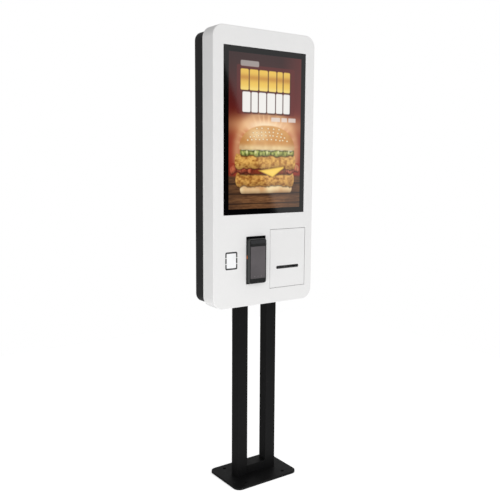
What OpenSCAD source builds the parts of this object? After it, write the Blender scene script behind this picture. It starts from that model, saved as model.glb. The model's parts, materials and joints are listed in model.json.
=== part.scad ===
// Self-service ordering kiosk: a portrait touchscreen, code reader, payment
// terminal and ticket printer in a shallow two-part case on two floor columns.
// Millimetres. +X is to the right as a visitor faces it, -Y is the visitor's
// side, +Z is up. The origin is on the floor, under the middle of the base.

/* [Case] */
// Overall width of the white front cover
case_w = 496; // [440:1:620]
// Overall height of the white front cover
case_h = 1095; // [1040:1:1400]
// Corner radius of the front cover
case_r = 46; // [20:1:60]
// Depth of the front cover
cover_depth = 78; // [74:1:110]
// Sheet thickness of the front cover
cover_t = 2; // [1.5:0.1:3]
// Width of the return flange at the back edge of the cover
cover_flange = 24; // [20:1:30]
// Depth of the dark rear housing behind the cover
rear_depth = 74; // [60:1:120]
// How far the rear housing is set in from the cover's outline
rear_inset = 10; // [6:1:14]
// Sheet thickness of the rear housing
rear_t = 1.5; // [1:0.1:2.5]
// Height of the underside of the case above the floor
case_bottom = 760; // [600:1:900]

/* [Stand] */
// Width of the base plate
base_w = 314; // [280:1:420]
// Depth of the base plate
base_d = 222; // [200:1:320]
// Thickness of the base plate
base_t = 10; // [6:1:16]
// Corner radius of the base plate
base_r = 28; // [5:1:30]
// Anchor hole spacing across the base
anchor_dx = 195; // [180:1:250]
// Anchor hole spacing along the base's depth
anchor_dy = 160; // [120:1:180]
// Radius of an anchor hole
anchor_r = 6.5; // [5:0.1:8]
// Width of a column
column_w = 52; // [40:1:60]
// Depth of a column
column_d = 44; // [36:1:44]
// Wall of a column
column_t = 2.5; // [2:0.1:3]
// Distance between the two columns' centre lines
column_gap = 145; // [120:1:180]
// Length of column inside the case
column_rise = 115; // [100:1:118]
// Height of the crossbar between the columns
crossbar_h = 39; // [30:1:80]
// Radius of the cable entry hole under each column
cable_entry_r = 12; // [8:0.5:15]
// Front of the case to the middle of the columns
front_offset = 73; // [72:1:76]

/* [Display] */
// Width of the touch glass
glass_w = 401; // [360:1:420]
// Height of the touch glass
glass_h = 648; // [560:1:660]
// Thickness of the touch glass
glass_t = 4; // [3:0.5:6]
// Top of the case to the top of the glass
glass_margin = 74; // [60:1:100]
// Thickness of the display module
lcd_t = 14; // [10:0.5:20]

/* [Payment terminal] */
// Width of the terminal
terminal_w = 84; // [70:1:88]
// Height of the terminal
terminal_h = 182; // [150:1:190]
// Thickness of the terminal
terminal_t = 44; // [36:1:46]
// How far the terminal stands out of the cover
terminal_proud = 16; // [8:1:24]
// Width of the opening around the terminal
bay_w = 96; // [92:1:110]
// Height of the opening around the terminal
bay_h = 194; // [192:1:220]
// Centre of the terminal opening from the middle of the case
bay_x = -44.5; // [-60:0.5:-40]
// Top of the case to the middle of the terminal opening
bay_drop = 908; // [895:1:930]

/* [Code reader] */
// Width of the reader window with its dark outline
reader_w = 57; // [40:1:60]
// Height of the reader window with its dark outline
reader_h = 71; // [50:1:90]
// Width of the dark outline
reader_line = 6; // [3:0.5:8]
// Centre of the reader window from the middle of the case
reader_x = -164; // [-180:1:-150]
// Top of the case to the middle of the reader window
reader_drop = 903.5; // [880:0.5:930]

/* [Ticket printer] */
// Width of the opening for the printer door
hatch_w = 185; // [180:1:190]
// Height of the opening for the printer door
hatch_h = 246; // [240:1:260]
// Centre of the printer door from the middle of the case
hatch_x = 118.5; // [118:0.5:124]
// Top of the case to the middle of the printer door
hatch_drop = 911; // [900:1:920]
// Gap around the printer door
door_gap = 1.5; // [1.2:0.1:2.5]
// Length of the ticket slot
slot_w = 118.5; // [100:0.5:126]
// Height of the ticket slot
slot_h = 13; // [9:0.5:14]
// Middle of the door down to the middle of the ticket slot
slot_below = 37.5; // [30:0.5:45]
// Radius of a full paper roll
roll_r = 35; // [25:1:36]
// Width of the paper roll
roll_w = 110; // [80:1:112]
// Radius of the platen roller
platen_r = 8; // [6:0.5:8]

/* [Rear] */
// Width of the service door
service_w = 400; // [300:1:410]
// Height of the service door
service_h = 600; // [400:1:620]
// Top of the rear housing to the top of the service door
service_drop = 260; // [220:1:300]
// Size of the cooling fan's frame
fan_size = 92; // [80:1:100]
// Thickness of the cooling fan's frame
fan_t = 25; // [15:1:25]

/* [Clearances] */
// Running clearance of a shaft in its hole
shaft_clear = 0.04; // [0.02:0.01:0.08]
// Clearance of a screw in a plain hole
screw_clear = 0.3; // [0.2:0.1:0.6]
// Clearance between pieces that fit together
fit = 0.5; // [0.3:0.1:0.8]
// Clearance around a column where it enters the case
column_clear = 1; // [0.5:0.1:2]

/* [Hidden] */

$fn = 64;
eps = 0.01;

white = "whitesmoke";
dark = "#2b2b2d";
zinc = "silver";
board_green = "#1d5a35";

front_y = -front_offset;
cover_back = front_y + cover_depth;
rear_back = cover_back + rear_depth;
case_top = case_bottom + case_h;
case_mid = case_bottom + case_h / 2;
rear_w = case_w - 2 * rear_inset;
rear_h = case_h - 2 * rear_inset;
rear_r = max(case_r - rear_inset, 4);
rear_bottom = case_bottom + rear_inset;
rear_top = case_top - rear_inset;
column_x = column_gap / 2;
column_back = column_d / 2;
column_top = case_bottom + column_rise;
glass_z = case_top - glass_margin - glass_h / 2;
seal_t = 1.2;
seat_y = front_y + glass_t + seal_t;
seat_t = 2;
seat_w = 13;
bay_z = case_top - bay_drop;
reader_z = case_top - reader_drop;
hatch_z = case_top - hatch_drop;
slot_z = hatch_z - slot_below;

// Equipment plate, just behind the columns
plate_t = 2;
plate_y = column_back;
plate_back = plate_y + plate_t;
plate_gap = 2;
plate_w = rear_w - 2 * (rear_t + plate_gap);
plate_h = rear_h - 2 * (rear_t + plate_gap);
screw_x = case_w / 2 - cover_t - cover_flange + 7.5;
screw_rows = 5;
screw_low = case_bottom + 90;
screw_step = (case_h - 180) / (screw_rows - 1);

function screw_z(i) = screw_low + i * screw_step;

// A rounded rectangle in the XZ plane, centred
module panel(w, h, r) {
    square([w - 2 * r, h], center = true);
    square([w, h - 2 * r], center = true);
    for (x = [-1, 1], z = [-1, 1])
        translate([x * (w / 2 - r), z * (h / 2 - r)]) circle(r);
}

// Extrudes an XZ outline from y to y + depth
module along_y(y, depth) {
    translate([0, y + depth, 0]) rotate([90, 0, 0]) linear_extrude(depth) children();
}

// A round bar or hole along +Y from y, at x and z
module rod_y(x, y, z, r, length) {
    translate([x, y, z]) rotate([-90, 0, 0]) cylinder(r = r, h = length);
}

// A round bar or hole along +X from x, at y and z
module rod_x(x, y, z, r, length) {
    translate([x, y, z]) rotate([0, 90, 0]) cylinder(r = r, h = length);
}

// A round bar or hole along +Z from z
module rod_z(x, y, z, r, length) {
    translate([x, y, z]) cylinder(r = r, h = length);
}

// A box from its low corner and its size
module block(x, y, z, w, d, h) {
    translate([x, y, z]) cube([w, d, h]);
}

// A straight spur gear with slim teeth, along +X, tooth 0 at +Y turned by start
module spur(teeth, width, start) {
    pitch_r = gear_module * teeth / 2;
    rotate([90, 0, 90]) linear_extrude(width) {
        circle(pitch_r - 1.15 * gear_module);
        for (i = [0 : teeth - 1])
            rotate(start + i * 360 / teeth)
                polygon([[pitch_r - 1.4 * gear_module, -tooth_root / 2],
                    [pitch_r + 0.85 * gear_module, -tooth_tip / 2],
                    [pitch_r + 0.85 * gear_module, tooth_tip / 2],
                    [pitch_r - 1.4 * gear_module, tooth_root / 2]]);
    }
}
gear_module = 0.8;
tooth_root = 1.5;
tooth_tip = 0.5;

// ---------------------------------------------------------------- stand

module base_plate() {
    color(dark) difference() {
        linear_extrude(base_t) panel(base_w, base_d, base_r);
        for (x = [-1, 1], y = [-1, 1])
            rod_z(x * anchor_dx / 2, y * anchor_dy / 2, -1, anchor_r, base_t + 2);
        for (x = [-1, 1]) rod_z(x * column_x, 0, -1, cable_entry_r, base_t + 2);
    }
}

bolt_rows = [30, 90];
bolt_r = 4;

module column(side) {
    wall = column_t;
    color(dark) translate([side * column_x, 0, base_t]) difference() {
        translate([-column_w / 2, -column_d / 2, 0])
            cube([column_w, column_d, column_top - base_t]);
        translate([wall - column_w / 2, wall - column_d / 2, -1])
            cube([column_w - 2 * wall, column_d - 2 * wall, column_top]);
        for (h = bolt_rows)
            rod_y(0, column_back - wall - 1, case_bottom + h - base_t,
                bolt_r + screw_clear, wall + 2);
    }
}

module column_left() { column(-1); }
module column_right() { column(1); }

module foot_crossbar() {
    span = column_gap - column_w;
    wall = column_t;
    color(dark) difference() {
        block(-span / 2, -column_d / 2, base_t, span, column_d, crossbar_h);
        block(-span / 2 - 1, wall - column_d / 2, base_t + wall,
            span + 2, column_d - 2 * wall, crossbar_h - 2 * wall);
    }
}

module column_bolts() {
    nut_t = 6.5;
    shank_front = column_back - column_t - nut_t - 1.5;
    color(zinc) for (side = [-1, 1], h = bolt_rows) {
        z = case_bottom + h;
        rod_y(side * column_x, shank_front, z, bolt_r, plate_back - shank_front + eps);
        translate([side * column_x, plate_back, z]) rotate([-90, 0, 0])
            cylinder(r = 7.4, h = 5.3, $fn = 6);
        translate([side * column_x, column_back - column_t - nut_t, z])
            rotate([-90, 0, 0]) difference() {
                cylinder(r = 7.4, h = nut_t, $fn = 6);
                translate([0, 0, -1]) cylinder(r = bolt_r + shaft_clear, h = nut_t + 2);
            }
    }
}

// Cuts the two column passages out of the underside of the case
module column_notches(y, depth, height) {
    for (side = [-1, 1])
        block(side * column_x - column_w / 2 - column_clear, y, case_bottom - 1,
            column_w + 2 * column_clear, depth, height);
}

// ---------------------------------------------------------------- case

module screw_holes(y, depth) {
    for (side = [-1, 1], i = [0 : screw_rows - 1])
        rod_y(side * screw_x, y, screw_z(i), screw_r + screw_clear, depth);
}
screw_r = 2.5;
grommet_r = 14;
grommet_y = front_y + 24;

module front_cover() {
    color(white) difference() {
        union() {
            difference() {
                translate([0, 0, case_mid]) along_y(front_y, cover_depth)
                    panel(case_w, case_h, case_r);
                translate([0, 0, case_mid])
                    along_y(front_y + cover_t, cover_depth - 2 * cover_t)
                        panel(case_w - 2 * cover_t, case_h - 2 * cover_t, case_r - cover_t);
                translate([0, 0, case_mid]) along_y(cover_back - cover_t - 1, cover_t + 2)
                    panel(case_w - 2 * (cover_t + cover_flange),
                        case_h - 2 * (cover_t + cover_flange), case_r - 16);
            }
            // Seat that carries the touch glass from behind
            translate([0, 0, glass_z]) along_y(front_y + cover_t - eps,
                seat_y + seat_t - front_y - cover_t + eps)
                square([glass_w + 2 * (fit + cover_t), glass_h + 2 * (fit + cover_t)],
                    center = true);
            printer_hinge_tabs();
        }
        translate([0, 0, glass_z]) {
            along_y(front_y - 1, seat_y - front_y + 1)
                square([glass_w + 2 * fit, glass_h + 2 * fit], center = true);
            along_y(front_y - 1, seat_y - front_y + seat_t + 2)
                square([glass_w + 2 * fit - 2 * seat_w, glass_h + 2 * fit - 2 * seat_w],
                    center = true);
        }
        translate([bay_x, 0, bay_z]) along_y(front_y - 1, cover_t + 2)
            square([bay_w, bay_h], center = true);
        translate([reader_x, 0, reader_z]) along_y(front_y - 1, cover_t + 2)
            panel(reader_w - 2 * reader_line, reader_h - 2 * reader_line, 3);
        translate([reader_x, 0, reader_z]) along_y(front_y - 1, 1 + outline_t)
            reader_outline_shape(0.1);
        translate([hatch_x, 0, hatch_z]) along_y(front_y - 1, cover_t + 2)
            square([hatch_w, hatch_h], center = true);
        column_notches(-column_back - column_clear, cover_depth, cover_flange + cover_t + 2);
        screw_holes(cover_back - cover_t - 1, cover_t + 2);
        rod_z(0, grommet_y, case_bottom - 1, grommet_r, cover_t + 2);
        for (side = [-1, 1], i = [0 : 6])
            block(side * speaker_x - 18 + 6 * i - 1.5, speaker_y - 20, case_bottom - 1,
                3, 40, cover_t + 2);
    }
}

module rear_housing() {
    open_w = service_w - 24;
    open_h = service_h - 24;
    color(dark) difference() {
        translate([0, 0, case_mid]) along_y(cover_back, rear_depth)
            panel(rear_w, rear_h, rear_r);
        translate([0, 0, case_mid]) along_y(cover_back + rear_t, rear_depth - 2 * rear_t)
            panel(rear_w - 2 * rear_t, rear_h - 2 * rear_t, rear_r - rear_t);
        translate([0, 0, case_mid]) along_y(cover_back - 1, rear_t + 2)
            panel(case_w - 2 * (cover_t + cover_flange),
                case_h - 2 * (cover_t + cover_flange), case_r - 16);
        translate([0, 0, service_z]) along_y(rear_back - rear_t - 1, rear_t + 2)
            square([open_w, open_h], center = true);
        rod_y(0, rear_back - rear_t - 1, fan_z, fan_size / 2 - 3, rear_t + 2);
        for (side = [-1, 1], x = [-1, 1])
            rod_y(side * fan_screw, rear_back - rear_t - 1, fan_z + x * fan_screw,
                2 + screw_clear, rear_t + 2);
        column_notches(cover_back - 1, column_back + column_clear - cover_back + 1,
            cover_flange + cover_t + 2);
        screw_holes(cover_back - 1, rear_t + 2);
        for (i = [0 : vent_count - 1])
            block(-vent_w / 2, rear_back - rear_t - 1, vent_z + i * vent_pitch,
                vent_w, rear_t + 2, vent_h);
        block(inlet_x - inlet_w / 2 - 0.3, inlet_y - inlet_d / 2 - 0.3, rear_bottom - 1,
            inlet_w + 0.6, inlet_d + 0.6, rear_t + 2);
    }
}
service_z = rear_top - service_drop - service_h / 2;
fan_z = rear_top - 120;
fan_screw = fan_size / 2 - 5;
vent_count = 6;
vent_w = 160;
vent_h = 5;
vent_pitch = 14;
vent_z = rear_bottom + 60;

module equipment_plate() {
    color(zinc) difference() {
        translate([0, 0, case_mid]) along_y(plate_y, plate_t)
            panel(plate_w, plate_h, rear_r - rear_t - plate_gap);
        for (side = [-1, 1]) for (h = bolt_rows)
            rod_y(side * column_x, plate_y - 1, case_bottom + h, bolt_r + screw_clear,
                plate_t + 2);
        screw_holes(plate_y - 1, plate_t + 2);
        for (z = [service_z + service_h / 2 + 40, case_bottom + 160])
            rod_y(0, plate_y - 1, z, 22, plate_t + 2);
    }
}

module plate_spacers() {
    front = cover_back + rear_t;
    color(zinc) for (side = [-1, 1], i = [0 : screw_rows - 1])
        difference() {
            rod_y(side * screw_x, front, screw_z(i), 6, plate_y - front);
            rod_y(side * screw_x, front - 1, screw_z(i), screw_r + screw_clear,
                plate_y - front + 2);
        }
}

// Long case screws with their nuts in front of the cover's flange
module case_screws() {
    nut_t = 4.7;
    nut_y = cover_back - cover_t - nut_t;
    color(zinc) for (side = [-1, 1], i = [0 : screw_rows - 1]) {
        rod_y(side * screw_x, nut_y - 1, screw_z(i), screw_r, plate_back - nut_y + 1 + eps);
        rod_y(side * screw_x, plate_back, screw_z(i), 4.6, 3.2);
        difference() {
            rod_y(side * screw_x, nut_y, screw_z(i), 4.5, nut_t);
            rod_y(side * screw_x, nut_y - 1, screw_z(i), screw_r + shaft_clear, nut_t + 2);
        }
    }
}

// ---------------------------------------------------------------- service door

door_t = 1.5;
knuckle_r = 4.5;
pin_r = 2.5;
door_y = rear_back + 0.4;
hinge_x = -service_w / 2 - knuckle_r - 0.8;
hinge_y = rear_back + knuckle_r + 1.5;
hinge_len = 60;
hinge_inset = 70;
lock_x = service_w / 2 - 24;
lock_r = 9;

function hinge_z(i) = service_z + (i * 2 - 1) * (service_h / 2 - hinge_inset) - hinge_len / 2;

// Three knuckles share one pin: the middle one belongs to the door
module knuckle(i, from, to) {
    difference() {
        rod_z(hinge_x, hinge_y, hinge_z(i) + from, knuckle_r, to - from);
        rod_z(hinge_x, hinge_y, hinge_z(i) + from - 1, pin_r + shaft_clear, to - from + 2);
    }
}

module service_door() {
    middle_from = hinge_len / 3 + 0.4;
    middle_to = 2 * hinge_len / 3 - 0.4;
    color(dark) union() {
        difference() {
            block(-service_w / 2, door_y, service_z - service_h / 2,
                service_w, door_t, service_h);
            rod_y(lock_x, door_y - 1, service_z, lock_r + 0.2, door_t + 2);
        }
        for (i = [0, 1]) {
            knuckle(i, middle_from, middle_to);
            difference() {
                block(hinge_x, door_y + door_t - eps, hinge_z(i) + middle_from,
                    30, 2, middle_to - middle_from);
                rod_z(hinge_x, hinge_y, hinge_z(i) + middle_from - 1,
                    knuckle_r - 0.5, middle_to - middle_from + 2);
            }
        }
    }
}

module service_hinge_leaves() {
    color(dark) for (i = [0, 1], part = [[0, hinge_len / 3], [2 * hinge_len / 3, hinge_len]]) {
        knuckle(i, part[0], part[1]);
        difference() {
            block(hinge_x - 22, rear_back, hinge_z(i) + part[0], 22, 2, part[1] - part[0]);
            rod_z(hinge_x, hinge_y, hinge_z(i) + part[0] - 1, knuckle_r - 0.5,
                part[1] - part[0] + 2);
        }
    }
}

module service_hinge_pins() {
    color(zinc) for (i = [0, 1]) {
        rod_z(hinge_x, hinge_y, hinge_z(i) - 2, pin_r, hinge_len + 4);
        rod_z(hinge_x, hinge_y, hinge_z(i) - 4, pin_r + 1.5, 2);
    }
}

module lock_barrel() {
    color(zinc) difference() {
        union() {
            rod_y(lock_x, door_y + door_t, service_z, lock_r + 3, 3);
            rod_y(lock_x, rear_back - 8, service_z, lock_r, door_y + door_t + eps - rear_back + 8);
        }
        rod_y(lock_x, rear_back - 20, service_z, 4 + shaft_clear, 40);
    }
}

// The key plug and its cam, stored turned down, which leaves the door free
module lock_cam() {
    cam_y = rear_back - rear_t - 9.5;
    color(zinc) difference() {
        union() {
            rod_y(lock_x, cam_y, service_z, 4, door_y + door_t + 2.6 - cam_y);
            rod_y(lock_x, cam_y, service_z, 7, 2.5);
            block(lock_x - 7, cam_y, service_z - 34, 14, 2.5, 34);
        }
        block(lock_x - 0.6, door_y + door_t + 1, service_z - 2.5, 1.2, 3, 5);
    }
}

// ---------------------------------------------------------------- display

module touch_glass() {
    color("black") translate([0, 0, glass_z]) along_y(front_y, glass_t)
        square([glass_w, glass_h], center = true);
}

module display_gasket() {
    color("black") translate([0, 0, glass_z]) along_y(front_y + glass_t, seal_t)
        difference() {
            square([glass_w, glass_h], center = true);
            square([glass_w - 2 * seat_w + 4, glass_h - 2 * seat_w + 4], center = true);
        }
}

lcd_y = seat_y;
bar_y = lcd_y + lcd_t + 0.4;
bar_t = 2;
bar_h = 30;
bar_rows = [-240, 0, 240];

module lcd_panel() {
    color(zinc) translate([0, 0, glass_z]) along_y(lcd_y, lcd_t)
        square([glass_w - 2 * seat_w - 3, glass_h - 2 * seat_w - 3], center = true);
}

// Bars across the back of the display module, screwed to the glass seat
module lcd_crossbars() {
    foot = seat_w - 1;
    seat_back = seat_y + seat_t;
    reach = glass_w / 2;
    color(zinc) for (row = bar_rows) {
        z = glass_z + row - bar_h / 2;
        block(-reach, bar_y, z, 2 * reach, bar_t, bar_h);
        for (side = [-1, 1]) {
            x = side * (reach - foot / 2) - foot / 2;
            difference() {
                block(x, seat_back, z, foot, bar_y + bar_t - seat_back, bar_h);
                block(x + 2, seat_back + 2, z - 1, foot - 4, bar_y - seat_back - 2, bar_h + 2);
            }
        }
    }
}

// Display driver board on stand-offs from the middle bar
module display_board() {
    stand = 6;
    board_y = bar_y + bar_t + stand;
    color(board_green) {
        block(-70, board_y, glass_z - 45, 140, 1.6, 90);
        for (x = [-55, 55]) rod_y(x, bar_y + bar_t, glass_z, 3, stand + eps);
        block(-20, board_y + 1.6 - eps, glass_z - 15, 30, 2.5, 30);
        block(30, board_y + 1.6 - eps, glass_z - 30, 14, 8, 50);
        block(-60, board_y + 1.6 - eps, glass_z + 28, 60, 6, 10);
    }
}

// ---------------------------------------------------------------- code reader

outline_t = 1;
outline_gap = 3;
pane_t = 3;

// Dark outline of the reader window, broken twice on each side
module reader_outline_shape(grow) {
    difference() {
        panel(reader_w + 2 * grow, reader_h + 2 * grow, 7);
        panel(reader_w - 2 * reader_line - 2 * grow, reader_h - 2 * reader_line - 2 * grow, 3);
        for (z = [-1, 1])
            translate([0, z * reader_h / 6])
                square([reader_w + 4, outline_gap - 2 * grow], center = true);
    }
}

module reader_outline() {
    color("black") translate([reader_x, 0, reader_z]) along_y(front_y, outline_t)
        reader_outline_shape(0);
}

module reader_window() {
    color(white) translate([reader_x, 0, reader_z]) along_y(front_y, pane_t)
        panel(reader_w - 2 * reader_line - fit, reader_h - 2 * reader_line - fit, 2.8);
}

reader_body_y = front_y + pane_t + 4;
reader_body_w = 46;
reader_body_h = 34;
reader_body_d = 30;

module reader_module() {
    color(dark) difference() {
        block(reader_x - reader_body_w / 2, reader_body_y, reader_z - reader_body_h / 2,
            reader_body_w, reader_body_d, reader_body_h);
        rod_y(reader_x - 8, reader_body_y - 1, reader_z, 7, 5);
        rod_y(reader_x + 12, reader_body_y - 1, reader_z, 3.5, 3);
    }
}

// Bent strap that holds the reader and its window from behind
module reader_bracket() {
    strap = 1.5;
    strap_w = 20;
    foot = 12;
    back = reader_body_y + reader_body_d;
    low = reader_z - reader_body_h / 2 - strap;
    high = reader_z + reader_body_h / 2;
    reach = reader_h / 2 + fit;
    pad_y = front_y + cover_t;
    strap_y = front_y + pane_t + fit;
    x = reader_x - strap_w / 2;
    color(zinc) {
        block(x, back, low, strap_w, strap, high + strap - low);
        block(x, strap_y, low, strap_w, back + strap - strap_y, strap);
        block(x, strap_y, high, strap_w, back + strap - strap_y, strap);
        block(x, strap_y, reader_z - reach, strap_w, strap, low + strap - reader_z + reach);
        block(x, strap_y, high, strap_w, strap, reader_z + reach - high);
        for (z = [reader_z - reach - foot, reader_z + reach])
            block(x, pad_y, z, strap_w, strap_y + strap - pad_y, foot);
    }
}

// ---------------------------------------------------------------- payment terminal

cradle_t = 1.5;
cradle_lip = 12;
cradle_depth = 44;
terminal_y = front_y - terminal_proud;
terminal_back = terminal_y + terminal_t;
terminal_z = bay_z + (terminal_h - bay_h) / 2 + 2;
terminal_r = 10;
terminal_edge = 2.5;
screen_w = 74;
screen_h = 131;
screen_y = terminal_y + 0.6;
screen_z = terminal_z - 5;
pad_h = 14;
key_z = terminal_z + 17;
key_len = 14;
key_w = 6;
key_y = terminal_y + 19;

module terminal_cradle() {
    front = front_y + cover_t;
    color(dark) translate([bay_x, 0, bay_z]) difference() {
        union() {
            along_y(front, cradle_depth - cover_t)
                square([bay_w + 2 * cradle_t, bay_h + 2 * cradle_t], center = true);
            along_y(front, cradle_t)
                square([bay_w + 2 * cradle_lip, bay_h + 2 * cradle_lip], center = true);
        }
        along_y(front - 1, cradle_depth - cover_t - cradle_t + 1)
            square([bay_w, bay_h], center = true);
        along_y(front, cradle_depth) circle(9);
        for (x = [-1, 1], z = [-1, 1])
            rod_y(x * cradle_screw_x, front - 1, z * cradle_screw_z, 2 + screw_clear,
                cradle_t + 2);
    }
}
cradle_screw_x = bay_w / 2 + cradle_lip - 5;
cradle_screw_z = bay_h / 2 - 20;

// Studs welded behind the cover, each with its nut
module cradle_screws() {
    front = front_y + cover_t;
    color(zinc) for (x = [-1, 1], z = [-1, 1]) {
        rod_y(bay_x + x * cradle_screw_x, front, bay_z + z * cradle_screw_z, 2, 8);
        rod_y(bay_x + x * cradle_screw_x, front + cradle_t, bay_z + z * cradle_screw_z, 3.9, 3);
    }
}

module terminal_mount() {
    back = front_y + cradle_depth - cradle_t;
    gap = back - terminal_back;
    color(zinc) difference() {
        union() {
            block(bay_x - 30, terminal_back, bay_z - 60, 60, 2, 120);
            block(bay_x - 30, back - 2, bay_z - 60, 60, 2, 120);
            for (x = [-30, 28]) block(bay_x + x, terminal_back, bay_z - 60, 2, gap, 120);
        }
        rod_y(bay_x, terminal_back - 1, bay_z, 8, gap + 2);
    }
}

module terminal_body() {
    color(dark) difference() {
        translate([bay_x, 0, terminal_z]) union() {
            along_y(terminal_y + terminal_edge, terminal_t - terminal_edge)
                panel(terminal_w, terminal_h, terminal_r);
            along_y(terminal_y, terminal_edge + eps)
                panel(terminal_w - terminal_edge, terminal_h - terminal_edge, terminal_r);
        }
        translate([bay_x, 0, screen_z]) along_y(terminal_y - 1, 2.4)
            square([screen_w + 0.4, screen_h + 0.4], center = true);
        translate([bay_x, 0, pad_z]) along_y(terminal_y - 1, 1.8)
            panel(screen_w + 0.4, pad_h + 0.4, 3.2);
        block(bay_x - terminal_w / 2 - 1, key_y - key_w / 2 - 0.3, key_z - key_len / 2 - 0.3,
            5, key_w + 0.6, key_len + 0.6);
        block(bay_x - 28, terminal_y + 9, terminal_z - terminal_h / 2 - 1, 56, 2.4, 41);
    }
}
pad_z = terminal_z + terminal_h / 2 - 5 - pad_h / 2;

module terminal_display() {
    color("dimgray") translate([bay_x, 0, screen_z]) along_y(screen_y, 0.8)
        square([screen_w, screen_h], center = true);
}

module terminal_reader_pad() {
    color("#3a403a") translate([bay_x, 0, pad_z]) along_y(terminal_y + 0.1, 0.7)
        panel(screen_w, pad_h, 3);
}

// Orange key on the terminal's left side
module terminal_side_key() {
    color("#d98a5b") block(bay_x - terminal_w / 2 - 1.4, key_y - key_w / 2, key_z - key_len / 2,
        3.8, key_w, key_len);
}

// ---------------------------------------------------------------- printer door

leaf_t = 2;
leaf_w = hatch_w - 2 * door_gap;
leaf_h = hatch_h - 2 * door_gap;
pan_depth = 10;
pivot_inset = 12;
pivot_x = hatch_x + leaf_w / 2 - pivot_inset;
pivot_y = front_y + pan_depth / 2;
pivot_r = 2;
tab_gap = 1;
tab_len = 8;

module printer_hinge_tabs() {
    for (side = [-1, 1]) {
        z = hatch_z + side * (hatch_h / 2 + tab_gap + tab_len / 2) - tab_len / 2;
        difference() {
            block(pivot_x - 7, front_y + cover_t - eps, z, 14, pan_depth - cover_t, tab_len);
            rod_z(pivot_x, pivot_y, z - 1, pivot_r + shaft_clear, tab_len + 2);
        }
    }
}

module printer_door() {
    color(white) difference() {
        translate([hatch_x, 0, hatch_z]) difference() {
            along_y(front_y, pan_depth) square([leaf_w, leaf_h], center = true);
            along_y(front_y + leaf_t, pan_depth)
                square([leaf_w - 2 * leaf_t, leaf_h - 2 * leaf_t], center = true);
        }
        translate([hatch_x, 0, slot_z]) along_y(front_y - 1, leaf_t + 2)
            panel(slot_w, slot_h, slot_h / 2 - 0.1);
        rod_z(pivot_x, pivot_y, hatch_z - hatch_h, pivot_r + shaft_clear, 2 * hatch_h);
    }
}

module door_pivot_pins() {
    color(zinc) for (side = [-1, 1]) {
        length = tab_len + tab_gap + door_gap + leaf_t + 1.5;
        middle = hatch_z + side * (leaf_h / 2 - leaf_t - 1.5 + length / 2);
        rod_z(pivot_x, pivot_y, middle - length / 2, pivot_r, length);
    }
}

mouth_w = roll_w + 3;
mouth_h = 5;

// Funnel behind the ticket slot, fixed in the door
module slot_bezel() {
    color("black") translate([hatch_x, 0, slot_z]) difference() {
        union() {
            along_y(front_y + leaf_t, 2) panel(slot_w + 14, slot_h + 12, 4);
            along_y(front_y + leaf_t + 2 - eps, 5) panel(mouth_w + 6, mouth_h + 5, 2);
        }
        along_y(front_y, 9 + leaf_t) panel(mouth_w, mouth_h, 2);
    }
}

latch_x = hatch_x - leaf_w / 2 + 8;
latch_z = hatch_z + 70;
latch_travel = 4;

// Push latch on a foot behind the cover, beside the opening
module latch_body() {
    front = front_y + pan_depth + latch_travel + 2;
    foot_w = 7.5;
    foot_x = hatch_x - hatch_w / 2 - foot_w - 1;
    color(dark) {
        difference() {
            block(latch_x - 6, front, latch_z - 6, 12, 24, 12);
            rod_y(latch_x, front - 1, latch_z, 3 + shaft_clear, 21);
        }
        block(foot_x, front_y + cover_t, latch_z - 6, 2, front + 24 - front_y - cover_t, 12);
        block(foot_x, front_y + cover_t, latch_z - 14, foot_w, 2, 28);
        block(foot_x, front + 22, latch_z - 6, latch_x - 6 - foot_x + eps, 2, 12);
    }
}

module latch_plunger() {
    front = front_y + leaf_t + 0.4;
    body_front = front_y + pan_depth + latch_travel + 2;
    color(zinc) rod_y(latch_x, front, latch_z, 3, body_front + 10 - front);
}

// ---------------------------------------------------------------- ticket printer

frame_wall = 2;
frame_in = roll_w / 2 + 5;
frame_left = hatch_x - frame_in - frame_wall;
frame_right = hatch_x + frame_in;
frame_front = front_y + 18;
frame_floor = column_top + 5;
frame_top = slot_z + 100;

platen_y = front_y + 31;
platen_z = slot_z - platen_r - 0.4;
platen_teeth = 30;
idler_teeth = 36;
pinion_teeth = 12;
idler_y = platen_y + gear_module * (platen_teeth + idler_teeth) / 2;
motor_y = idler_y + gear_module * (idler_teeth + pinion_teeth) / 2;
motor_r = min(12.5, plate_y - frame_wall - motor_y - 1);
shaft_r = 4;
bush_r = 6;
gear_w = 6;
gear_x = frame_left - 2.5 - gear_w;
stud_r = 3;
motor_shaft_r = 1.5;
head_pivot_y = front_y + 48;
head_pivot_z = slot_z + 12;
head_pin_r = 2;
roll_y = front_y + 54;
roll_z = slot_z + 62;
spindle_r = 6;
blade_y = front_y + 20;

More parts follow.
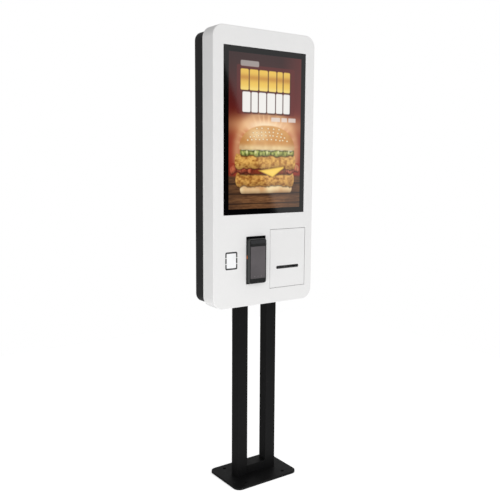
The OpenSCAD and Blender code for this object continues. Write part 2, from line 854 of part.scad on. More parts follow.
module printer_frame() {
    inside = 2 * frame_in;
    apron_low = frame_floor - 22;
    color(zinc) difference() {
        union() {
            for (x = [frame_left, frame_right])
                block(x, frame_front, frame_floor, frame_wall, plate_y - frame_front,
                    frame_top - frame_floor);
            block(frame_left, frame_front, frame_floor, inside + 2 * frame_wall,
                plate_y - frame_front, frame_wall);
            block(frame_left, plate_y - frame_wall, frame_floor, inside + 2 * frame_wall,
                frame_wall, frame_top - frame_floor);
            block(frame_left, frame_front, apron_low, inside + 2 * frame_wall, frame_wall,
                frame_floor - apron_low + eps);
            // Upper crossbar and fixed knife in front of the platen
            block(frame_left, blade_y + 3, slot_z + 24, inside + 2 * frame_wall, 2, 10);
            block(frame_left, blade_y - 0.2, frame_floor, inside + 2 * frame_wall, 1.6,
                slot_z - 1.5 - frame_floor);
            rod_x(gear_x - 1, idler_y, platen_z, stud_r, frame_left - gear_x + 1 + eps);
        }
        for (x = [frame_left, frame_right])
            rod_x(x - 1, platen_y, platen_z, bush_r + 0.02, frame_wall + 2);
        for (x = [frame_left, frame_right])
            rod_x(x - 1, head_pivot_y, head_pivot_z, head_pin_r + shaft_clear, frame_wall + 2);
        for (x = [frame_left, frame_right])
            rod_x(x - 1, roll_y, roll_z, spindle_r + 0.02, frame_wall + 2);
        rod_x(frame_left - 1, motor_y, platen_z, 5, frame_wall + 2);
        rod_y(button_x, frame_front - 1, button_z, button_r + 0.3, frame_wall + 2);
    }
}
button_r = 5;
button_x = frame_right - 24;
button_z = frame_floor - 11;

module platen_roller() {
    color("black") {
        rod_x(hatch_x - roll_w / 2 - 2, platen_y, platen_z, platen_r, roll_w + 4);
        rod_x(gear_x - 1, platen_y, platen_z, shaft_r,
            frame_right + frame_wall + 2 - gear_x + 1);
    }
}

// The gear is pressed on the platen's shaft by a flat, left as a close bore
module platen_gear() {
    color("ivory") difference() {
        translate([gear_x, platen_y, platen_z]) spur(platen_teeth, gear_w, 0);
        rod_x(gear_x - 1, platen_y, platen_z, shaft_r + 0.01, gear_w + 2);
    }
}

module platen_bushes() {
    color("goldenrod") for (x = [frame_left, frame_right]) difference() {
        rod_x(x - 0.5, platen_y, platen_z, bush_r, frame_wall + 1);
        rod_x(x - 2, platen_y, platen_z, shaft_r + shaft_clear, frame_wall + 4);
    }
}

module idler_gear() {
    color("ivory") difference() {
        translate([gear_x, idler_y, platen_z]) spur(idler_teeth, gear_w, 180 / idler_teeth);
        rod_x(gear_x - 1, idler_y, platen_z, stud_r + shaft_clear, gear_w + 2);
    }
}

module feed_motor() {
    color(dark) difference() {
        rod_x(frame_left + frame_wall, motor_y, platen_z, motor_r, 30);
        rod_x(frame_left, motor_y, platen_z, motor_shaft_r + shaft_clear, 22);
    }
}

module motor_pinion() {
    color("goldenrod") {
        translate([gear_x, motor_y, platen_z]) spur(pinion_teeth, gear_w, 0);
        rod_x(gear_x, motor_y, platen_z, motor_shaft_r, frame_left + 16 - gear_x);
    }
}

module thermal_head() {
    width = roll_w + 2;
    arm_t = 2;
    color("dimgray") {
        block(hatch_x - width / 2, platen_y - 7, slot_z + 0.4, width, 16, 6);
        block(hatch_x - width / 2, platen_y - 5, slot_z + 6.4 - eps, width, 10, 4);
        for (x = [hatch_x - width / 2, hatch_x + width / 2 - arm_t])
            block(x, platen_y + 8, slot_z + 3, arm_t, head_pivot_y - platen_y - 4, 12);
        rod_x(frame_left - 1, head_pivot_y, head_pivot_z, head_pin_r,
            frame_right - frame_left + frame_wall + 3);
    }
}

// Release lever on the right of the frame, turning the head's pin
module head_lever() {
    x = frame_right + frame_wall + 3;
    color("#3566a8") difference() {
        union() {
            rod_x(x, lever_y, lever_z, 6, 4);
            block(x, lever_y - 3, lever_z, 4, 6, 42);
            rod_x(x, lever_y, lever_z + 42, 5, 4);
        }
        rod_x(x - 1, lever_y, lever_z, 2.5 + shaft_clear, 6);
    }
}
lever_y = head_pivot_y - 6;
lever_z = head_pivot_z + 22;

module cutter_blade() {
    color(zinc) block(hatch_x - roll_w / 2 - 3, blade_y - 1.8, slot_z + 4, roll_w + 6, 1.2, 18);
}

module paper_roll() {
    color("white") difference() {
        rod_x(hatch_x - roll_w / 2, roll_y, roll_z, roll_r, roll_w);
        rod_x(hatch_x - roll_w / 2 - 1, roll_y, roll_z, spindle_r + 0.3, roll_w + 2);
    }
}

module paper_spindle() {
    color(zinc) {
        rod_x(frame_left - 1, roll_y, roll_z, spindle_r, frame_right - frame_left + frame_wall + 2);
        // Pivot stud of the release lever
        rod_x(frame_right + frame_wall, lever_y, lever_z, 2.5, 8);
    }
}

module feed_button() {
    color("seagreen") rod_y(button_x, frame_front - 3, button_z, button_r, frame_wall + 6);
}

// ---------------------------------------------------------------- electronics

board_w = 170;
board_h = 170;
board_x = -190;
board_z = service_z - 40;
board_stand = 6;
board_y = plate_back + board_stand;

module main_board() {
    face = board_y + 1.6 - eps;
    color(board_green) {
        block(board_x, board_y, board_z, board_w, 1.6, board_h);
        for (x = [10, board_w - 10], z = [10, board_h - 10])
            rod_y(board_x + x, plate_back, board_z + z, 3, board_stand + eps);
        for (i = [0 : 3]) block(board_x + 8 + i * 30, face, board_z + 2, 22, 13, 20);
        for (i = [0, 1]) block(board_x + 128 + i * 12, face, board_z + 20, 6, 10, 130);
        block(board_x + 20, face, board_z + 120, 40, 3, 40);
    }
}

module heat_sink() {
    base_y = board_y + 1.6;
    color(zinc) {
        block(board_x + 25, base_y, board_z + 45, 60, 4, 60);
        for (i = [0 : 9]) block(board_x + 25 + i * 6.4, base_y + 4 - eps, board_z + 45, 1.8, 16, 60);
    }
}

module power_supply() {
    color(zinc) difference() {
        block(60, plate_back, board_z - 20, 98, 36, 200);
        for (i = [0 : 9]) block(75, plate_back + 35, board_z + i * 16 - 5, 68, 2, 5);
    }
}

speaker_x = 170;
speaker_y = front_y + 44;

module speakers() {
    color(dark) for (side = [-1, 1]) {
        block(side * speaker_x - 27, speaker_y - 25, case_bottom + cover_t, 54, 50, 4);
        rod_z(side * speaker_x, speaker_y, case_bottom + cover_t, 20, 20);
        rod_z(side * speaker_x, speaker_y, case_bottom + cover_t, 12, 30);
    }
}

fan_y = rear_back - rear_t - fan_t;
hub_r = 18;
blade_count = 7;

module fan_frame() {
    half = fan_size / 2;
    color(dark) difference() {
        translate([0, 0, fan_z]) along_y(fan_y, fan_t) panel(fan_size, fan_size, 4);
        rod_y(0, fan_y - 1, fan_z, half - 3, fan_t + 2);
        for (x = [-1, 1], z = [-1, 1])
            rod_y(x * fan_screw, fan_y - 1, fan_z + z * fan_screw, 2 + screw_clear, fan_t + 2);
    }
    color(dark) {
        rod_y(0, fan_y, fan_z, hub_r, 2);
        for (a = [45 : 90 : 315])
            translate([0, fan_y, fan_z]) rotate([0, a, 0]) block(0, 0, -3, half, 2, 6);
        rod_y(0, fan_y, fan_z, 3, fan_t - 6);
    }
}

module fan_rotor() {
    start = fan_y + 3;
    depth = fan_t - 6;
    tip = fan_size / 2 - 5;
    blade_pitch = 35;
    blade_chord = depth * 0.95;
    color("black") translate([0, start, fan_z]) difference() {
        union() {
            rod_y(0, 0, 0, hub_r, depth);
            for (i = [0 : blade_count - 1])
                rotate([0, i * 360 / blade_count, 0])
                    translate([hub_r - 2, depth / 2, 0]) rotate([blade_pitch, 0, 0])
                        block(0, -blade_chord / 2, -0.8, tip - hub_r + 2, blade_chord, 1.6);
        }
        rod_y(0, -1, 0, 3 + shaft_clear, depth);
    }
}

module fan_guard() {
    wire = 1.4;
    color(zinc) {
        for (r = [10, 20, 30, 40]) translate([0, rear_back, fan_z]) rotate([-90, 0, 0])
            difference() {
                cylinder(r = r + wire / 2, h = wire);
                translate([0, 0, -1]) cylinder(r = r - wire / 2, h = wire + 2);
            }
        for (a = [45 : 90 : 315])
            translate([0, rear_back + wire - eps, fan_z]) rotate([0, a, 0])
                block(9, 0, -wire / 2, fan_screw * sqrt(2) - 9, wire, wire);
        for (x = [-1, 1], z = [-1, 1])
            rod_y(x * fan_screw, rear_back, fan_z + z * fan_screw, 4, wire * 2);
    }
}

inlet_x = 165;
inlet_w = 50;
inlet_d = 24;
inlet_y = rear_back - 24;
rocker_x = inlet_x + 16;

// Appliance inlet with its rocker switch, in the underside of the rear housing
module power_inlet() {
    socket_x = inlet_x - 22;
    color("black") difference() {
        union() {
            block(inlet_x - inlet_w / 2, inlet_y - inlet_d / 2, rear_bottom - 1,
                inlet_w, inlet_d, 31);
            block(inlet_x - inlet_w / 2 - 3, inlet_y - inlet_d / 2 - 3, rear_bottom - 2.5,
                inlet_w + 6, inlet_d + 6, 2.5);
        }
        block(socket_x, inlet_y - 8.5, rear_bottom - 3, 26, 17, 19);
        block(rocker_x - 7, inlet_y - 9.5, rear_bottom - 3, 14, 19, 15);
    }
    color(zinc) for (x = [5, 13, 21])
        block(socket_x + x - 1, inlet_y - 2.5, rear_bottom, 2, 5, 16 + eps);
}

// Rocker, pivoted across its middle
module power_rocker() {
    color("firebrick") translate([rocker_x, inlet_y, rear_bottom + 3]) union() {
        rod_x(-6.5, 0, 0, 4, 13);
        rotate([9, 0, 0]) block(-6, -7.5, -5, 12, 15, 4);
    }
}

module cable_grommet() {
    color("black") difference() {
        union() {
            rod_z(0, grommet_y, case_bottom - 2, grommet_r + 3, 2);
            rod_z(0, grommet_y, case_bottom - eps, grommet_r - 0.1, cover_t + 2 * eps);
            rod_z(0, grommet_y, case_bottom + cover_t, grommet_r + 3, 2);
        }
        rod_z(0, grommet_y, case_bottom - 3, grommet_r - 4, cover_t + 6);
    }
}

base_plate();
column_left();
column_right();
foot_crossbar();
column_bolts();
front_cover();
rear_housing();
equipment_plate();
plate_spacers();
case_screws();
service_door();
service_hinge_leaves();
service_hinge_pins();
lock_barrel();
lock_cam();
touch_glass();
display_gasket();
lcd_panel();
lcd_crossbars();
display_board();
reader_window();
reader_outline();
reader_module();
reader_bracket();
terminal_cradle();
cradle_screws();
terminal_mount();
terminal_body();
terminal_display();
terminal_reader_pad();
terminal_side_key();
printer_door();
door_pivot_pins();
slot_bezel();
latch_body();
latch_plunger();
printer_frame();
platen_roller();
platen_gear();
platen_bushes();
idler_gear();
feed_motor();
motor_pinion();
thermal_head();
head_lever();
cutter_blade();
paper_roll();
paper_spindle();
feed_button();
main_board();
heat_sink();
power_supply();
speakers();
fan_frame();
fan_rotor();
fan_guard();
power_inlet();
power_rocker();
cable_grommet();
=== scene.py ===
"""Looks of a self-service ordering kiosk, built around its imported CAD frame.

Each sub-assembly is a class that reads its place from the frame, builds the
pieces that show, and dresses them and the CAD nodes that stay. Lengths in the
dataclass fields are metres. +X is to the visitor's right, -Y is the visitor's
side and +Z is up.
"""

import json
import logging
import math
from dataclasses import dataclass, field
from enum import Enum
from typing import Callable, Sequence

import bmesh
import bpy
import numpy as np
from mathutils import Matrix, Vector
from mathutils.geometry import tessellate_polygon


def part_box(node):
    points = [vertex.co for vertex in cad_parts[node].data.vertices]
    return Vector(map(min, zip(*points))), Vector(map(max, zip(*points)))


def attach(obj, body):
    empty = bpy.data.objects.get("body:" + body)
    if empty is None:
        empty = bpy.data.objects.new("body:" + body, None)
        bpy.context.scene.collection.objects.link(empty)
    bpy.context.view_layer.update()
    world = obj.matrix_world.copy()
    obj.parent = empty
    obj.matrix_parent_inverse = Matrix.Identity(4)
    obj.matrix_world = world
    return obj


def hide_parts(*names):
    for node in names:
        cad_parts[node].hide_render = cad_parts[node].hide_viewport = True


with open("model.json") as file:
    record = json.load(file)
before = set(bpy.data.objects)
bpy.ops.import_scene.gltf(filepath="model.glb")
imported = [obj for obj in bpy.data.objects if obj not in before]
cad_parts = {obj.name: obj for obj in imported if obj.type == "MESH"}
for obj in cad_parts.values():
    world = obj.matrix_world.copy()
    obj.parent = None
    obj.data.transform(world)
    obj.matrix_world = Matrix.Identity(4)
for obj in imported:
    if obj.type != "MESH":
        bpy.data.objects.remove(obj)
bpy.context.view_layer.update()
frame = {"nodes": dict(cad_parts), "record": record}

LOG = logging.getLogger("kiosk")
MM = 0.001
Point = tuple[float, float]
Colour = tuple[float, float, float]


class Axis(Enum):
    """Direction in which a metal was rolled or ground."""

    X = (1.0, 40.0, 40.0)
    Y = (40.0, 1.0, 40.0)
    Z = (40.0, 40.0, 1.0)


# ------------------------------------------------------------------ materials


class Graph:
    """A material's node tree, with short calls for adding and joining nodes."""

    def __init__(self, name: str) -> None:
        """Starts a material with one Principled shader.

        Args:
            name: The material's name.
        """
        self.material = bpy.data.materials.new(name)
        self.material.use_nodes = True
        self.tree = self.material.node_tree
        self.shader = self.tree.nodes["Principled BSDF"]
        self.place = self.add("ShaderNodeTexCoord").outputs["Object"]

    def add(self, kind: str, **settings: object) -> bpy.types.Node:
        """Adds a node.

        Args:
            kind: The node's type name.
            **settings: Properties set on the node.

        Returns:
            The new node.
        """
        node = self.tree.nodes.new(kind)
        for key, value in settings.items():
            setattr(node, key, value)
        return node

    def link(self, source: bpy.types.NodeSocket, target: bpy.types.NodeSocket) -> None:
        """Joins an output to an input."""
        self.tree.links.new(source, target)

    def value(self, socket: str, value: object) -> None:
        """Sets a uniform value on the shader's own socket."""
        self.shader.inputs[socket].default_value = value

    def mapped(self, scale: Sequence[float], offset: Sequence[float] = (0, 0, 0)) -> bpy.types.NodeSocket:
        """Gives object coordinates, moved and then scaled.

        Args:
            scale: Factor along each axis.
            offset: The point that becomes the origin, in metres.

        Returns:
            The mapped coordinates.
        """
        mapping = self.add("ShaderNodeMapping")
        mapping.inputs["Scale"].default_value = tuple(scale)
        mapping.inputs["Location"].default_value = tuple(-o * s for o, s in zip(offset, scale))
        self.link(self.place, mapping.inputs["Vector"])
        return mapping.outputs["Vector"]

    def noise(self, scale: float, detail: float = 3.0, vector: bpy.types.NodeSocket | None = None,
              roughness: float = 0.55) -> bpy.types.NodeSocket:
        """Adds a noise pattern.

        Args:
            scale: Cycles per metre.
            detail: Octaves.
            vector: Coordinates, or None for the plain object coordinates.
            roughness: Share of each finer octave.

        Returns:
            The noise's factor, about 0.5 on average.
        """
        node = self.add("ShaderNodeTexNoise")
        node.inputs["Scale"].default_value = scale
        node.inputs["Detail"].default_value = detail
        node.inputs["Roughness"].default_value = roughness
        self.link(vector or self.place, node.inputs["Vector"])
        return node.outputs["Fac"]

    def ramp(self, source: bpy.types.NodeSocket, low: float, high: float,
             colours: tuple[Colour, Colour] | None = None) -> bpy.types.NodeSocket:
        """Maps a factor's middle range onto two colours or two values.

        Args:
            source: The factor.
            low: Value, or position when colours are given, of the dark end.
            high: Value, or position when colours are given, of the light end.
            colours: The two end colours, or None for plain values.

        Returns:
            The mapped colour or value.
        """
        if colours is None:
            node = self.add("ShaderNodeMapRange")
            node.inputs["From Min"].default_value = 0.3
            node.inputs["From Max"].default_value = 0.7
            node.inputs["To Min"].default_value = low
            node.inputs["To Max"].default_value = high
            self.link(source, node.inputs["Value"])
            return node.outputs["Result"]
        node = self.add("ShaderNodeValToRGB")
        node.color_ramp.elements[0].position = low
        node.color_ramp.elements[1].position = high
        for element, colour in zip(node.color_ramp.elements, colours):
            element.color = (*colour, 1.0)
        self.link(source, node.inputs["Fac"])
        return node.outputs["Color"]

    def bump(self, height: bpy.types.NodeSocket, distance: float, strength: float = 1.0,
             below: bpy.types.NodeSocket | None = None) -> bpy.types.NodeSocket:
        """Adds relief to the surface.

        Args:
            height: Height pattern.
            distance: Depth of the relief in metres.
            strength: Share of the relief that shows.
            below: Another bump's normal that this one is laid over.

        Returns:
            The bumped normal, already joined to the shader.
        """
        node = self.add("ShaderNodeBump")
        node.inputs["Distance"].default_value = distance
        node.inputs["Strength"].default_value = strength
        self.link(height, node.inputs["Height"])
        if below is not None:
            self.link(below, node.inputs["Normal"])
        self.link(node.outputs["Normal"], self.shader.inputs["Normal"])
        return node.outputs["Normal"]

    def colour(self, source: bpy.types.NodeSocket) -> None:
        """Joins a colour pattern to the base colour."""
        self.link(source, self.shader.inputs["Base Color"])


def shade(colour: Colour, factor: float) -> Colour:
    """Gives a colour made lighter or darker, kept below 1."""
    return tuple(min(1.0, c * factor) for c in colour)


@dataclass(frozen=True)
class PowderCoat:
    """Baked paint on sheet steel, with orange peel, faint mottling and dust."""

    name: str
    colour: Colour
    roughness: float = 0.42
    peel: float = 26e-6
    grain: float = 420.0
    mottle: float = 0.012
    dust: float = 0.0
    specular: float = 0.5

    def build(self) -> bpy.types.Material:
        """Builds the paint.

        Returns:
            The material.
        """
        g = Graph(self.name)
        cloud = g.noise(7.0, 4.0)
        dark, light = shade(self.colour, 1 - self.mottle), shade(self.colour, 1 + self.mottle)
        tint = g.ramp(cloud, 0.35, 0.65, (dark, light))
        if self.dust > 0:
            mix = g.add("ShaderNodeMix", data_type="RGBA")
            speck = g.noise(160.0, 6.0, roughness=0.7)
            g.link(g.ramp(speck, 0.0, self.dust), mix.inputs["Factor"])
            g.link(tint, mix.inputs["A"])
            mix.inputs["B"].default_value = (0.32, 0.30, 0.27, 1.0)
            tint = mix.outputs["Result"]
        g.colour(tint)
        g.value("Specular IOR Level", self.specular)
        smear = g.noise(31.0, 5.0)
        g.link(g.ramp(smear, self.roughness - 0.05, self.roughness + 0.05), g.shader.inputs["Roughness"])
        soft = g.bump(g.noise(self.grain * 0.35, 1.0), self.peel * 1.6)
        g.bump(g.noise(self.grain, 2.0), self.peel, 0.8, soft)
        return g.material


@dataclass(frozen=True)
class Metal:
    """Bare or plated metal with its rolling or grinding lines."""

    name: str
    colour: Colour
    roughness: float = 0.3
    along: Axis = Axis.Z
    spangle: float = 0.0

    def build(self) -> bpy.types.Material:
        """Builds the metal.

        Returns:
            The material.
        """
        g = Graph(self.name)
        g.value("Metallic", 1.0)
        lines = g.noise(22.0, 6.0, g.mapped(self.along.value), 0.7)
        g.colour(g.ramp(lines, 0.3, 0.7, (shade(self.colour, 0.86), shade(self.colour, 1.08))))
        rough = g.ramp(lines, self.roughness - 0.06, self.roughness + 0.10)
        if self.spangle > 0:
            cells = g.add("ShaderNodeTexVoronoi")
            cells.inputs["Scale"].default_value = 1 / self.spangle
            g.link(g.place, cells.inputs["Vector"])
            blend = g.add("ShaderNodeMix", data_type="FLOAT")
            blend.inputs["Factor"].default_value = 0.5
            grey = g.add("ShaderNodeRGBToBW")
            g.link(cells.outputs["Color"], grey.inputs["Color"])
            g.link(rough, blend.inputs["A"])
            g.link(g.ramp(grey.outputs["Val"], self.roughness - 0.1, self.roughness + 0.2), blend.inputs["B"])
            rough = blend.outputs["Result"]
        g.link(rough, g.shader.inputs["Roughness"])
        g.bump(lines, 12e-6, 0.6)
        return g.material


@dataclass(frozen=True)
class Plastic:
    """Moulded plastic with a spark-eroded texture."""

    name: str
    colour: Colour
    roughness: float = 0.5
    grain: float = 900.0
    relief: float = 30e-6
    specular: float = 0.5

    def build(self) -> bpy.types.Material:
        """Builds the plastic.

        Returns:
            The material.
        """
        g = Graph(self.name)
        cloud = g.noise(18.0, 4.0)
        g.colour(g.ramp(cloud, 0.3, 0.7, (shade(self.colour, 0.94), shade(self.colour, 1.06))))
        g.value("Specular IOR Level", self.specular)
        g.link(g.ramp(g.noise(70.0, 4.0), self.roughness - 0.05, self.roughness + 0.07),
               g.shader.inputs["Roughness"])
        g.bump(g.noise(self.grain, 2.0), self.relief)
        return g.material


@dataclass(frozen=True)
class PrintedGlass:
    """Toughened glass over a base colour: the paint printed on its back, or on the terminal's screen a grey
    that is a painted reflection.
    """

    name: str
    colour: Colour
    roughness: float = 0.03
    smudge: float = 0.05

    def build(self) -> bpy.types.Material:
        """Builds the glass.

        Returns:
            The material.
        """
        g = Graph(self.name)
        g.colour(g.ramp(g.noise(5.0, 3.0), 0.35, 0.65, (shade(self.colour, 0.8), shade(self.colour, 1.2))))
        smears = g.noise(14.0, 8.0, g.mapped((1.0, 1.0, 0.45)), 0.62)
        g.link(g.ramp(smears, self.roughness, self.roughness + self.smudge), g.shader.inputs["Roughness"])
        g.value("IOR", 1.44)
        return g.material


@dataclass(frozen=True)
class LitPicture:
    """A running display behind glass, its picture held in a colour attribute."""

    name: str
    attribute: str
    strength: float = 1.0
    roughness: float = 0.04
    pitch: float = 0.00031

    def build(self) -> bpy.types.Material:
        """Builds the display.

        Returns:
            The material.
        """
        g = Graph(self.name)
        paint = g.add("ShaderNodeAttribute", attribute_name=self.attribute)
        rows = g.add("ShaderNodeTexWave", wave_type="BANDS", bands_direction="Z")
        rows.inputs["Scale"].default_value = 1 / (20 * self.pitch)
        g.link(g.place, rows.inputs["Vector"])
        dim = g.add("ShaderNodeMix", data_type="RGBA", blend_type="MULTIPLY")
        dim.inputs["Factor"].default_value = 1.0
        g.link(paint.outputs["Color"], dim.inputs["A"])
        g.link(g.ramp(rows.outputs["Fac"], 0.0, 1.0, ((0.94, 0.94, 0.94), (1.0, 1.0, 1.0))), dim.inputs["B"])
        g.link(dim.outputs["Result"], g.shader.inputs["Emission Color"])
        g.value("Emission Strength", self.strength)
        g.colour(g.ramp(g.noise(9.0), 0.3, 0.7, ((0.004, 0.004, 0.005), (0.008, 0.008, 0.009))))
        smears = g.noise(14.0, 8.0, g.mapped((1.0, 1.0, 0.45)), 0.62)
        g.link(g.ramp(smears, self.roughness, self.roughness + 0.05), g.shader.inputs["Roughness"])
        g.value("IOR", 1.5)
        return g.material


@dataclass(frozen=True)
class CircuitBoard:
    """Solder mask over copper tracks and pads."""

    name: str
    colour: Colour
    track: float = 0.004

    def build(self) -> bpy.types.Material:
        """Builds the board.

        Returns:
            The material.
        """
        g = Graph(self.name)
        bricks = g.add("ShaderNodeTexBrick", offset=0.37, squash=1.7)
        bricks.inputs["Scale"].default_value = 1 / (2 * self.track)
        bricks.inputs["Mortar Size"].default_value = 0.08
        turn = g.add("ShaderNodeMapping")
        turn.inputs["Rotation"].default_value = (math.pi / 2, 0, 0)
        g.link(g.place, turn.inputs["Vector"])
        g.link(turn.outputs["Vector"], bricks.inputs["Vector"])
        bricks.inputs["Color1"].default_value = (*self.colour, 1)
        bricks.inputs["Color2"].default_value = (*shade(self.colour, 0.75), 1)
        bricks.inputs["Mortar"].default_value = (*shade(self.colour, 1.9), 1)
        g.colour(bricks.outputs["Color"])
        g.link(g.ramp(g.noise(120.0), 0.25, 0.42), g.shader.inputs["Roughness"])
        g.bump(bricks.outputs["Fac"], 40e-6)
        return g.material


@dataclass(frozen=True)
class WoundPaper:
    """Paper on a roll, its turns showing as fine rings on the ends."""

    name: str
    centre: tuple[float, float, float]
    turn: float = 0.0006

    def build(self) -> bpy.types.Material:
        """Builds the paper.

        Returns:
            The material.
        """
        g = Graph(self.name)
        rings = g.add("ShaderNodeTexWave", wave_type="RINGS", rings_direction="X")
        rings.inputs["Scale"].default_value = 1.0
        rings.inputs["Distortion"].default_value = 0.4
        factor = 1 / (20 * self.turn)
        g.link(g.mapped((factor,) * 3, self.centre), rings.inputs["Vector"])
        g.colour(g.ramp(rings.outputs["Fac"], 0.0, 1.0, ((0.70, 0.70, 0.67), (0.88, 0.88, 0.86))))
        g.link(g.ramp(g.noise(60.0), 0.6, 0.8), g.shader.inputs["Roughness"])
        g.bump(rings.outputs["Fac"], 60e-6)
        return g.material


# ------------------------------------------------------------------ shapes


@dataclass(frozen=True)
class Outline:
    """A rounded rectangle in the XZ plane."""

    x: float
    z: float
    width: float
    height: float
    radius: float

    def inset(self, amount: float) -> "Outline":
        """Gives the outline moved inwards all round.

        Args:
            amount: Distance inwards; negative moves it outwards.

        Returns:
            The new outline.
        """
        return Outline(self.x, self.z, self.width - 2 * amount, self.height - 2 * amount,
                       max(self.radius - amount, 0.0002))

    def points(self, steps: int = 12) -> list[Point]:
        """Gives the outline's points, anticlockwise seen from the front.

        Args:
            steps: Chords in each corner arc.

        Returns:
            The (x, z) points.
        """
        half_w, half_h = self.width / 2 - self.radius, self.height / 2 - self.radius
        found = []
        for corner, (sx, sz) in enumerate(((1, 1), (-1, 1), (-1, -1), (1, -1))):
            for i in range(steps + 1):
                angle = math.pi / 2 * (corner + i / steps)
                found.append((self.x + sx * half_w + self.radius * math.cos(angle),
                              self.z + sz * half_h + self.radius * math.sin(angle)))
        return found


def box_outline(node: str, radius: float, grow: float = 0.0) -> Outline:
    """Gives the outline of a CAD node as seen from the front.

    Args:
        node: The node's name.
        radius: Corner radius.
        grow: Distance added all round.

    Returns:
        The outline.
    """
    low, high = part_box(node)
    return Outline((low.x + high.x) / 2, (low.z + high.z) / 2, high.x - low.x, high.z - low.z,
                   radius).inset(-grow)


def circle(x: float, z: float, radius: float, steps: int = 32) -> list[Point]:
    """Gives the points of a circle in the XZ plane."""
    return [(x + radius * math.cos(2 * math.pi * i / steps), z + radius * math.sin(2 * math.pi * i / steps))
            for i in range(steps)]


class Shape:
    """A mesh under construction."""

    def __init__(self) -> None:
        """Starts an empty mesh."""
        self.bm = bmesh.new()

    def loft(self, loops: Sequence[Sequence[Vector]], closed: bool = False) -> "Shape":
        """Joins loops of equal length by quads.

        Args:
            loops: The loops in order.
            closed: Whether the last loop joins the first.

        Returns:
            This shape.
        """
        rows = [[self.bm.verts.new(p) for p in loop] for loop in loops]
        pairs = list(zip(rows, rows[1:])) + ([(rows[-1], rows[0])] if closed else [])
        for a, b in pairs:
            for i in range(len(a)):
                j = (i + 1) % len(a)
                self.bm.faces.new((a[i], a[j], b[j], b[i]))
        return self

    def sweep(self, outline: Outline, profile: Sequence[Point], closed: bool = True,
              steps: int = 12) -> "Shape":
        """Carries a profile around an outline.

        Args:
            outline: The outline followed.
            profile: Points of (inset, y).
            closed: Whether the profile closes on itself.
            steps: Chords in each corner arc.

        Returns:
            This shape.
        """
        loops = [[Vector((x, y, z)) for x, z in outline.inset(inset).points(steps)] for inset, y in profile]
        return self.loft(loops, closed)

    def pane(self, rings: Sequence[Sequence[Point]], y: float) -> None:
        """Fills the flat area between an outline and its holes.

        Args:
            rings: Points of the outline, then of each hole.
            y: The y of the area.
        """
        verts = [self.bm.verts.new((x, y, z)) for ring in rings for x, z in ring]
        for tri in tessellate_polygon([[Vector((x, z, 0)) for x, z in ring] for ring in rings]):
            self.bm.faces.new([verts[i] for i in tri])

    def plate(self, outer: Sequence[Point], holes: Sequence[Sequence[Point]], front: float, back: float,
              rim: bool = True) -> "Shape":
        """Adds a flat plate with holes.

        Args:
            outer: Points of the outside.
            holes: Points of each hole.
            front: The y of the front face.
            back: The y of the back face.
            rim: Whether the outside gets its wall.

        Returns:
            This shape.
        """
        rings = [list(outer), *[list(h) for h in holes]]
        flat = [[Vector((x, z, 0)) for x, z in ring] for ring in rings]
        triangles = tessellate_polygon(flat)
        sides = []
        for y in (front, back):
            verts = [self.bm.verts.new((x, y, z)) for ring in rings for x, z in ring]
            sides.append(verts)
            for tri in triangles:
                self.bm.faces.new([verts[i] for i in tri])
        start = 0
        for number, ring in enumerate(rings):
            count = len(ring)
            if rim or number:
                for i in range(count):
                    a, b = start + i, start + (i + 1) % count
                    self.bm.faces.new((sides[0][a], sides[0][b], sides[1][b], sides[1][a]))
            start += count
        return self

    def block(self, low: Sequence[float], high: Sequence[float]) -> "Shape":
        """Adds a box from its two corners.

        Args:
            low: The corner with the lowest values.
            high: The opposite corner.

        Returns:
            This shape.
        """
        corners = bmesh.ops.create_cube(self.bm, size=1.0)["verts"]
        for v in corners:
            v.co = Vector([l if c < 0 else h for c, l, h in zip(v.co, low, high)])
        return self

    def rod(self, start: Sequence[float], end: Sequence[float], radius: float, steps: int = 32,
            radius_end: float | None = None) -> "Shape":
        """Adds a closed round bar or cone between two points.

        Args:
            start: Middle of one end.
            end: Middle of the other end.
            radius: Radius at the start.
            steps: Sides of the bar.
            radius_end: Radius at the end, where it differs.

        Returns:
            This shape.
        """
        a, b = Vector(start), Vector(end)
        turn = (b - a).to_track_quat("Z", "Y").to_matrix().to_4x4()
        bmesh.ops.create_cone(self.bm, cap_ends=True, segments=steps, radius1=radius,
                              radius2=radius if radius_end is None else radius_end, depth=(b - a).length,
                              matrix=Matrix.Translation((a + b) / 2) @ turn)
        return self

    def turned(self, centre: Sequence[float], profile: Sequence[Point], steps: int = 48) -> "Shape":
        """Adds a body turned about an axis along Y.

        Args:
            centre: A point on the axis.
            profile: Closed list of (radius, y from the centre).
            steps: Chords round the axis.

        Returns:
            This shape.
        """
        cx, cy, cz = centre
        loops = []
        for radius, y in profile:
            loops.append([Vector((cx + radius * math.cos(t), cy + y, cz + radius * math.sin(t)))
                          for t in (2 * math.pi * i / steps for i in range(steps))])
        return self.loft(loops, closed=True)

    def piece(self, name: str, material: bpy.types.Material, bevel: float = 0.0, segments: int = 2,
              sharp: float = 35.0) -> bpy.types.Object:
        """Ends the shape as an object at the origin.

        Args:
            name: The object's name.
            material: Its material.
            bevel: Width of the rounding on sharp edges.
            segments: Steps in the rounding.
            sharp: Angle in degrees above which an edge stays sharp.

        Returns:
            The object.
        """
        bmesh.ops.remove_doubles(self.bm, verts=self.bm.verts, dist=2e-6)
        bmesh.ops.dissolve_degenerate(self.bm, dist=1e-6, edges=self.bm.edges)
        bmesh.ops.recalc_face_normals(self.bm, faces=self.bm.faces)
        mesh = bpy.data.meshes.new(name)
        self.bm.to_mesh(mesh)
        self.bm.free()
        mesh.materials.append(material)
        obj = bpy.data.objects.new(name, mesh)
        bpy.context.scene.collection.objects.link(obj)
        if bevel > 0:
            mod = obj.modifiers.new("edge", "BEVEL")
            mod.width = bevel
            mod.segments = segments
            mod.limit_method = "ANGLE"
            mod.angle_limit = math.radians(50)
            mod.harden_normals = False
            bake_modifiers(obj)
        smooth(obj, sharp)
        return obj


